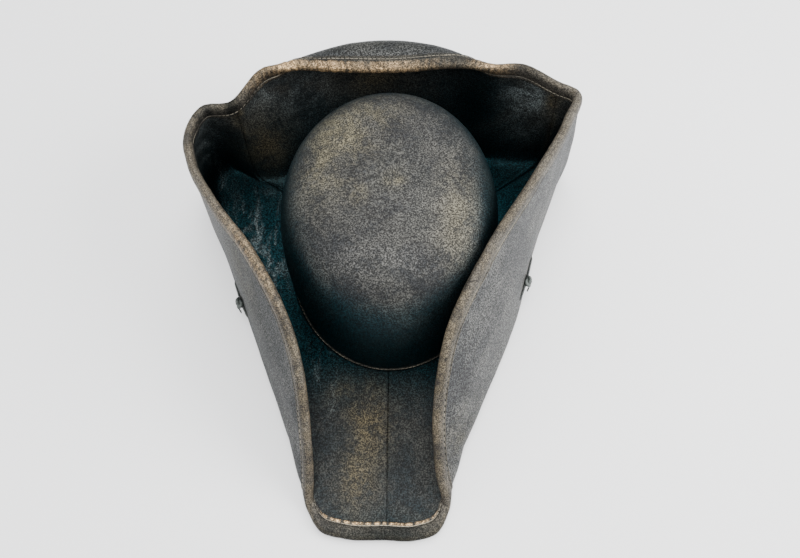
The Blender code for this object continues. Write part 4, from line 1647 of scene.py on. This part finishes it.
# ---- crown -------------------------------------------------------------------------
@dataclass
class Crown:
    """The blocked crown: its suede, its lining and the piping round its foot."""

    squareness: float = 5.0
    bulge: float = 0.03
    spokes: int = 240
    rings: int = 96
    skin: float = 0.9
    dent: float = 0.9
    dent_size: float = 60.0
    pipe_radius: float = 1.0
    pipe_height: float = 5.4
    pipe_steps: int = 480
    pipe_sides: int = 12
    pipe_gap: float = 0.5
    pipe_swell: float = 0.10
    pipe_tan: float = 0.15
    # Painted shade on the piping, which sits at the crown's foot down in the trough.
    pipe_shade: float = 0.62
    stitch_pitch: float = 3.6
    stitch_depth: float = 0.98
    arc_steps: int = 2000
    last_ring: float = 0.9975
    dent_heights: Span = (10.0, 60.0)
    nap_height: float = 0.12
    nap_size: float = 9.0
    dent_seed: float = 6.0
    nap_seed: float = 2.0
    pipe_seed: float = 4.0
    pipe_swell_size: float = 6.0
    relief_span: Span = (-0.25, 0.9)
    # Painted shade on the crown: below the shoulder, which sits a little lower at the front, more
    # toward the foot, and eased at a spot on the front.
    front_span: Span = (20.0, 84.0)
    shoulder_span: Span = (108.0, 136.0)
    shoulder_drop: Span = (3.0, 8.0)
    shoulder_shade: float = 0.80
    foot_span: Span = (30.0, 112.0)
    foot_shade: float = 0.18
    eased_shade_middle: Place = (8.0, -98.0, 104.0)
    eased_shade_reach: float = 34.0
    eased_shade_share: float = 0.22
    deepest: float = 0.97
    lining_gap: float = 0.05
    lining_thickness: float = 0.5
    pleats: int = 26
    pleat_depth: float = 0.7
    pleat_start: float = 40.0

    def __post_init__(self) -> None:
        """Read the crown's sizes from the frame."""
        self.low, self.high = (np.array(corner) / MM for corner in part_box("crown_shell"))
        self.half = (self.high - self.low)[:2] / 2 / (1 + self.bulge)
        self.inner_low, self.inner_high = (np.array(c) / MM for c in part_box("crown_lining"))

    def dome(self, half: np.ndarray, height: float, foot: float) -> np.ndarray:
        """Rings of points up a dome, from its foot to its middle.

        Args:
            half: half its width and half its length.
            height: how high its middle is.
            foot: the height of its lowest ring.

        Returns:
            The points, ring by ring.
        """
        turn = np.linspace(0.0, math.pi / 2, self.arc_steps)
        radius = np.cos(turn) ** (2 / self.squareness)
        rise = height * np.sin(turn) ** (2 / self.squareness)
        steps = np.hypot(np.diff(radius * half[0]), np.diff(rise))
        run = np.concatenate([[0.0], np.cumsum(steps)])
        start = np.interp(foot, rise, run)
        at = np.linspace(start, run[-1] * self.last_ring, self.rings)
        share = np.interp(at, run, radius)
        z = np.interp(at, run, rise)
        share = share * (1 + self.bulge * np.sin(math.pi * z / height))
        spoke = np.arange(self.spokes) * 2 * math.pi / self.spokes
        return np.stack([
            share[:, None] * half[0] * np.cos(spoke),
            share[:, None] * half[1] * np.sin(spoke),
            np.repeat(z[:, None], self.spokes, axis=1),
        ], axis=2)

    def normals(self, rings: np.ndarray) -> np.ndarray:
        """Outward normals of a dome's rings."""
        around = np.roll(rings, -1, 1) - np.roll(rings, 1, 1)
        return unit(np.cross(around, np.gradient(rings, axis=0)))

    def shell(self, shop: Workshop, name: str, outer: np.ndarray, inner: np.ndarray, finish: Finish,
              dyes_and_painted_light: Mapping[str, np.ndarray]) -> bpy.types.Object:
        """Join two domes of rings into one thick dome, open at the bottom.

        Args:
            shop: the workshop that makes the pieces.
            name: the piece's name.
            outer: the outer dome's rings.
            inner: the inner dome's rings.
            finish: the finish it is dressed in.
            dyes_and_painted_light: the shares of its colour marks, painted shade included, at the
                outer dome's points.

        Returns:
            The piece.
        """
        rings, spokes = outer.shape[:2]
        size = rings * spokes
        faces = []
        for k in range(rings - 1):
            for i in range(spokes):
                j = (i + 1) % spokes
                a, b = k * spokes + i, k * spokes + j
                faces.append((a, b, b + spokes, a + spokes))
                faces.append((size + a, size + a + spokes, size + b + spokes, size + b))
        for i in range(spokes):
            j = (i + 1) % spokes
            top = (rings - 1) * spokes
            faces.append((top + i, top + j, 2 * size))
            faces.append((size + top + j, size + top + i, 2 * size + 1))
            faces.append((j, i, size + i, size + j))
        tips = [outer[-1].mean(axis=0), inner[-1].mean(axis=0)]
        verts = np.concatenate([outer.reshape(-1, 3), inner.reshape(-1, 3), tips])
        tipped = {key: np.concatenate([v.ravel(), v.ravel(), [v[-1].mean()] * 2])
                  for key, v in dyes_and_painted_light.items()}
        return shop.mesh(name, verts, faces, finish, tipped)

    def dyes_and_painted_light(self, rings: np.ndarray) -> dict[str, np.ndarray]:
        """The crown's colour marks, with the painted shade that darkens its suede from its shoulder
        to its foot.

        Args:
            rings: the dome's rings of points, in millimetres.

        Returns:
            A share from 0 to 1 at each point, by the mark's name.
        """
        shares = painted_and_dyed(rings, CROWN_PATCHES)
        y, z = rings[..., 1], rings[..., 2]
        front = smooth_step(-y, *self.front_span)
        # Painted shade: darker below the shoulder and toward the foot, a little less at one spot on
        # the front.
        (low, high), (low_drop, high_drop) = self.shoulder_span, self.shoulder_drop
        shoulder = 1 - smooth_step(z, low - low_drop * front, high - high_drop * front)
        foot = 1 - smooth_step(z, *self.foot_span)
        away = ((rings - np.array(self.eased_shade_middle)) ** 2).sum(axis=-1)
        eased_shade = self.eased_shade_share * np.exp(-away / self.eased_shade_reach**2)
        dark = np.maximum(self.shoulder_shade * shoulder + self.foot_shade * foot - eased_shade,
                          shares[Dye.DEEP])
        shares[Dye.DEEP] = np.clip(dark, 0.0, self.deepest)
        return {dye.value: share for dye, share in shares.items()}

    def build(self, shop: Workshop) -> None:
        """Make the crown's suede and lining, and the piping at its foot.

        Args:
            shop: the workshop that makes the pieces.
        """
        rings = self.dome(self.half, self.high[2], self.low[2])
        normals = self.normals(rings)
        dented = smooth_step(rings[..., 2], *self.dent_heights)
        relief = self.dent * rough(rings, self.dent_size, self.dent_seed) * dented
        relief += self.nap_height * rough(rings, self.nap_size, self.nap_seed)
        outer = rings + np.clip(relief, *self.relief_span)[..., None] * normals
        inner = rings - self.skin * normals
        inner[0, :, 2] = outer[0, :, 2]
        piece = self.shell(shop, "crown_suede", outer, inner, CROWN_SUEDE, self.dyes_and_painted_light(outer))
        shop.register(piece, "crown_suede", "crown_shell")
        across = 2 * (self.high[2] + self.half) * MM
        self.build_lining(shop)
        self.build_piping(shop)

    def build_lining(self, shop: Workshop) -> None:
        """Make the lining, gathered in soft pleats toward its middle.

        Args:
            shop: the workshop that makes the pieces.
        """
        half = (self.inner_high - self.inner_low)[:2] / 2 / (1 + self.bulge)
        rings = self.dome(half, self.inner_high[2], self.inner_low[2])
        normals = self.normals(rings)
        spoke = np.arange(self.spokes) * 2 * math.pi / self.spokes
        wave = 0.5 + 0.5 * np.cos(self.pleats * spoke + 0.8 * np.sin(3 * spoke))
        high = smooth_step(rings[..., 2], self.pleat_start, self.inner_high[2])
        fall = self.pleat_depth * (0.25 + 0.75 * high) * wave[None, :]
        outer = rings - self.lining_gap * normals
        inner = rings - (self.lining_thickness + fall)[..., None] * normals
        inner[0, :, 2] = outer[0, :, 2]
        piece = self.shell(shop, "crown_lining_satin", outer, inner, LINING_SATIN, {})
        shop.register(piece, "lining", "crown_lining")
        across = 2 * (self.inner_high[2] + half) * MM

    def build_piping(self, shop: Workshop) -> None:
        """Make the piping that closes the joint of crown and brim, with its stitches.

        Args:
            shop: the workshop that makes the pieces.
        """
        count, sides = self.pipe_steps, self.pipe_sides
        spoke = np.arange(count) * 2 * math.pi / count
        half = self.half * (1 + self.bulge * math.sin(math.pi * self.pipe_height / self.high[2]))
        half = half + self.pipe_gap
        middles = np.stack([half[0] * np.cos(spoke), half[1] * np.sin(spoke),
                            np.full(count, self.pipe_height)], axis=1)
        along = unit(np.roll(middles, -1, 0) - np.roll(middles, 1, 0))
        outward = np.stack([along[:, 1], -along[:, 0], 0 * spoke], axis=1)
        turns = np.arange(sides) * 2 * math.pi / sides
        swell = self.pipe_swell * rough(middles, self.pipe_swell_size, self.pipe_seed)
        fat = self.pipe_radius * (1 + swell)
        up = np.array([0.0, 0.0, 1.0])
        verts = np.stack([
            middles + (fat * math.cos(t))[:, None] * outward + (fat * math.sin(t))[:, None] * up
            for t in turns
        ], axis=1).reshape(-1, 3)
        dyes_and_painted_light = {dye.value: np.zeros(len(verts)) for dye in Dye}
        dyes_and_painted_light[Dye.TAN.value] += self.pipe_tan
        # Painted shade over the whole piping.
        dyes_and_painted_light[Dye.DEEP.value] += self.pipe_shade
        piece = shop.mesh("crown_piping", verts, tube_faces(count, sides), BINDING_SUEDE, dyes_and_painted_light)
        shop.register(piece, "binding")
        pitch = int(count / (2 * math.pi * half.mean() / self.stitch_pitch))
        chosen = slice(0, count, max(pitch, 3))
        lift = unit(outward + up)
        stitches = Stitch(length=2.4, radius=0.24)
        place = middles[chosen] + self.pipe_radius * self.stitch_depth * lift[chosen]
        thread = stitches.run(shop, "crown_stitches", place, along[chosen], lift[chosen])
        shop.register(thread, "binding")


# ---- sweatband ---------------------------------------------------------------------
@dataclass
class Sweatband:
    """Grosgrain ribbon sewn round the inside of the head opening."""

    columns: int = 420
    rows: int = 16
    thickness: float = 1.2
    wave: float = 0.35
    wave_floor: float = -0.1
    rolled: float = 0.5
    lower_hem: float = 0.06
    upper_hem: float = 0.05
    upper_share: float = 0.6
    stitch_inset: float = 0.3
    stitch_pitch: float = 3.4
    stitch_height: float = 4.0
    stitch_radius: float = 0.22

    def build(self, shop: Workshop) -> None:
        """Make the ribbon with a rolled lower edge and its line of stitches.

        Args:
            shop: the workshop that makes the pieces.
        """
        low, high = (np.array(corner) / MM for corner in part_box("sweatband"))
        half = (high - low)[:2] / 2
        spoke = np.arange(self.columns) * 2 * math.pi / self.columns
        rise = np.linspace(0.0, 1.0, self.rows)
        verts = []
        for depth, sign in ((0.0, 0.0), (self.thickness, 1.0)):
            ring = []
            for share in rise:
                hem = self.rolled * math.exp(-(share / self.lower_hem) ** 2)
                upper = math.exp(-((1 - share) / self.upper_hem) ** 2)
                hem += self.upper_share * self.rolled * upper
                ripple = self.wave * np.sin(9 * spoke + 2 * np.sin(2 * spoke)) * share
                draw = depth + sign * (hem + np.maximum(ripple, self.wave_floor))
                z = low[2] + share * (high[2] - low[2])
                ring.append(np.stack([(half[0] - draw) * np.cos(spoke),
                                      (half[1] - draw) * np.sin(spoke),
                                      np.full(self.columns, z)], axis=1))
            verts.append(np.stack(ring, axis=1).reshape(-1, 3))
        around = np.repeat(np.arange(self.columns) / self.columns, self.rows)
        piece = shop.mesh("sweatband_ribbon", np.concatenate(verts),
                          [face[::-1] for face in shell_faces(self.columns, self.rows, True)],
                          BAND_RIBBON, {"around": np.concatenate([around, around])})
        shop.register(piece, "sweatband", "sweatband")
        inset = half - self.thickness - self.stitch_inset
        count = int(2 * math.pi * inset.mean() / self.stitch_pitch)
        turn = np.arange(count) * 2 * math.pi / count
        middles = np.stack([inset[0] * np.cos(turn), inset[1] * np.sin(turn),
                            np.full(count, low[2] + self.stitch_height)], axis=1)
        along = unit(np.roll(middles, -1, 0) - np.roll(middles, 1, 0))
        inward = np.stack([-along[:, 1], along[:, 0], 0 * turn], axis=1)
        stitch = Stitch(radius=self.stitch_radius)
        thread = stitch.run(shop, "sweatband_stitches", middles, along, inward)
        shop.register(thread, "sweatband")


# ---- ties --------------------------------------------------------------------------
@dataclass
class Tie:
    """One tie: its thong, its knot and its two loose ends, placed by the frame's own."""

    side: Side
    strand: float = 1.45
    turns: int = 120
    sides: int = 12
    tail_length: float = 11.0
    strand_steps: int = 40
    rest: float = 0.6
    rise: float = 1.3
    sink: float = 1.9
    sink_share: float = 0.05
    slit_reach: float = 2.0
    thong_half: Span = (2.3, 0.95)
    seat: float = 1.9
    knot_half: Span = (1.15, 1.05)
    knot_depth: float = 1.5
    tail_half: Span = (1.8, 0.6)
    tail_steps: int = 24
    tails: tuple[Span, ...] = ((-1.0, 0.55), (1.0, 0.8))

    def __post_init__(self) -> None:
        """Read the knot's place and the thong's direction from the frame."""
        low, high = (np.array(c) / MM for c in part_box(f"{self.side.value}_tie_knot"))
        self.middle = (low + high) / 2
        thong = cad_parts[f"{self.side.value}_tie_thong"].data
        points = np.array([v.co for v in thong.vertices]) / MM
        _, _, axes = np.linalg.svd(points - points.mean(axis=0), full_matrices=False)
        self.along = axes[0] * np.sign(axes[0][1])
        outward = self.middle - points.mean(axis=0)
        self.outward = unit(outward - (outward @ self.along) * self.along)
        self.up = np.cross(self.along, self.outward)
        self.up *= np.sign(self.up[2])

    def tube(self, path: np.ndarray, across: float, deep: float,
             closed: bool) -> tuple[np.ndarray, list[tuple[int, ...]]]:
        """A strand of oval section along a path.

        Args:
            path: points of its middle line.
            across: half its width.
            deep: half its thickness.
            closed: whether it is a loop.

        Returns:
            Its vertices and faces.
        """
        if closed:
            way = unit(np.roll(path, -1, 0) - np.roll(path, 1, 0))
        else:
            way = unit(np.gradient(path, axis=0))
        wide = unit(np.cross(way, self.outward + 0.01 * self.along))
        thick = np.cross(wide, way)
        turn = np.arange(self.sides) * 2 * math.pi / self.sides
        rings = [path + (across * math.cos(t)) * wide + (deep * math.sin(t)) * thick for t in turn]
        verts = np.stack(rings, axis=1).reshape(-1, 3)
        return verts, tube_faces(len(path), self.sides, closed)

    def place(self, x: np.ndarray, y: np.ndarray, z: np.ndarray) -> np.ndarray:
        """Points from places along the strand, up the wall and out from it."""
        return (self.middle + x[:, None] * self.along + y[:, None] * self.up
                + z[:, None] * self.outward)

    def wall(self) -> BVHTree:
        """The outer faces of the brim, to lay the thong against.

        Returns:
            A tree of the CAD's outer brim faces, in millimetres.
        """
        verts, faces = [], []
        for side in Side:
            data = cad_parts[f"brim_under_{side.value}"].data
            start = len(verts)
            verts += [v.co / MM for v in data.vertices]
            faces += [tuple(start + i for i in face.vertices) for face in data.polygons]
        return BVHTree.FromPolygons(verts, faces)

    def lay(self, tree: BVHTree) -> np.ndarray:
        """The thong's middle line, from one slit over the wall to the knot and the other slit.

        Args:
            tree: the brim's outer faces.

        Returns:
            The points of the line, in millimetres.
        """
        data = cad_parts[f"{self.side.value}_tie_thong"].data
        points = np.array([v.co for v in data.vertices]) / MM
        reach = points @ self.along
        ends = [points[np.abs(reach - end) < self.slit_reach].mean(axis=0)
                for end in (reach.min(), reach.max())]
        line = []
        for share in np.linspace(0.0, 1.0, self.strand_steps):
            at = ends[0] + share * (ends[1] - ends[0])
            near, _, _, _ = tree.find_nearest(Vector(at))
            lift = self.rest + self.rise * math.sin(math.pi * share) ** 0.6
            lift -= self.sink * (math.exp(-(share / self.sink_share) ** 2)
                                 + math.exp(-((1 - share) / self.sink_share) ** 2))
            line.append(np.array(near) + lift * self.outward)
        return np.array(line)

    def build(self, shop: Workshop) -> None:
        """Make the thong, the knot's crossing strand and its two loose ends.

        Args:
            shop: the workshop that makes the pieces.
        """
        line = self.lay(self.wall())
        verts, faces = self.tube(line, *self.thong_half, False)
        thong = shop.mesh(f"{self.side.value}_thong", verts, faces, THONG_SUEDE_SHADED)
        shop.register(thong, "thong", f"{self.side.value}_tie_thong")
        seat = line[np.argmin(np.linalg.norm(line - self.middle, axis=1))]
        self.middle = seat + self.seat * self.outward
        t = np.arange(self.turns) * 2 * math.pi / self.turns
        long, high = self.knot_half
        loop = self.place(long * (np.sin(t) + 2 * np.sin(2 * t)),
                          high * (np.cos(t) - 2 * np.cos(2 * t)), -self.knot_depth * np.sin(3 * t))
        verts, faces = self.tube(loop, self.strand * 1.5, self.strand, True)
        knot = shop.mesh(f"{self.side.value}_knot", verts, faces, KNOT_SUEDE)
        shop.register(knot, "thong", f"{self.side.value}_tie_knot")
        for number, (way, drop) in enumerate(self.tails):
            s = np.linspace(0.0, 1.0, self.tail_steps)
            x = way * (1.0 + 2.6 * s + 1.0 * np.sin(2.4 * s))
            y = -1.5 - drop * self.tail_length * s**1.2
            z = 0.2 + 1.2 * np.sin(math.pi * s) * (1 - 0.4 * s)
            verts, faces = self.tube(self.place(x, y, z), *self.tail_half, False)
            tail = shop.mesh(f"{self.side.value}_tie_end_{number + 1}", verts, faces, THONG_SUEDE_SHADED)
            shop.register(tail, "thong")


# ---- studio ------------------------------------------------------------------------
@dataclass(frozen=True)
class SoftBox:
    """A large soft light: where it stands, its size and its power."""

    name: str
    place: Place
    size: float
    power: float


@dataclass
class Studio:
    """Plain pale floor, soft lights and the camera."""

    camera_place: Place = (0.0088, -0.2788, 0.5712)
    camera_aim: Place = (0.0083, -0.0374, 0.0400)
    lens: float = 31.6
    floor_size: float = 8.0
    floor_drop: float = 0.0002
    sky_colour: Colour = (0.95, 0.97, 1.0)
    aim: Place = (0.0, -0.02, 0.08)
    sky: float = 0.90
    boxes: tuple[SoftBox, ...] = (
        SoftBox("left_softbox", (-1.30, 0.15, 0.95), 1.1, 7.0),
        SoftBox("right_softbox", (1.30, -0.10, 0.80), 1.1, 34.0),
        SoftBox("back_softbox", (0.10, 1.00, 1.50), 1.2, 22.0),
        SoftBox("top_softbox", (-0.10, 0.10, 1.90), 1.0, 16.0),
        SoftBox("front_softbox", (-0.10, -1.00, 1.60), 0.9, 22.0),
    )

    def build(self, shop: Workshop) -> None:
        """Lay the floor, hang the lights and set up the camera.

        Args:
            shop: the workshop that makes the floor's material.
        """
        bpy.ops.object.select_all(action="DESELECT")
        bpy.ops.mesh.primitive_plane_add(size=self.floor_size,
                                         location=(0.0, 0.0, -self.floor_drop))
        floor = bpy.context.active_object
        floor.name = "studio_floor"
        floor.data.materials.append(shop.material(STUDIO_FLOOR))
        for box in self.boxes:
            light = bpy.data.lights.new(box.name, "AREA")
            light.shape = "DISK"
            light.size = box.size
            light.energy = box.power
            lamp = bpy.data.objects.new(box.name, light)
            bpy.context.scene.collection.objects.link(lamp)
            lamp.location = box.place
            self.point(lamp, self.aim)
        world = bpy.data.worlds.new("studio_sky")
        world.use_nodes = True
        backdrop = world.node_tree.nodes["Background"]
        backdrop.inputs["Color"].default_value = (*self.sky_colour, 1.0)
        backdrop.inputs["Strength"].default_value = self.sky
        bpy.context.scene.world = world
        camera = bpy.data.objects.new("camera", bpy.data.cameras.new("camera"))
        bpy.context.scene.collection.objects.link(camera)
        camera.data.lens = self.lens
        camera.location = self.camera_place
        self.point(camera, self.camera_aim)
        bpy.context.scene.camera = camera

    @staticmethod
    def point(thing: bpy.types.Object, target: Place) -> None:
        """Turn a light or a camera toward a place."""
        way = Vector(target) - thing.location
        thing.rotation_euler = way.to_track_quat("-Z", "Y").to_euler()


def main() -> None:
    """Build the studio and every sub-assembly, in order."""
    logging.basicConfig(level=logging.INFO, format="%(name)s: %(message)s")
    shop = Workshop()
    Studio().build(shop)
    surface = BrimSurface()
    Crown().build(shop)
    BrimSheets(surface).build(shop)
    BoundEdge(surface).build(shop)
    Sweatband().build(shop)
    for side in (Side.LEFT, Side.RIGHT):
        Tie(side).build(shop)
    shop.dress("crown_stiffener", CORE_FOAM)
    for node in ("edge_wire", "wire_ferrule"):
        shop.dress(node, WIRE_STEEL)


if __name__ == "__main__":
    main()
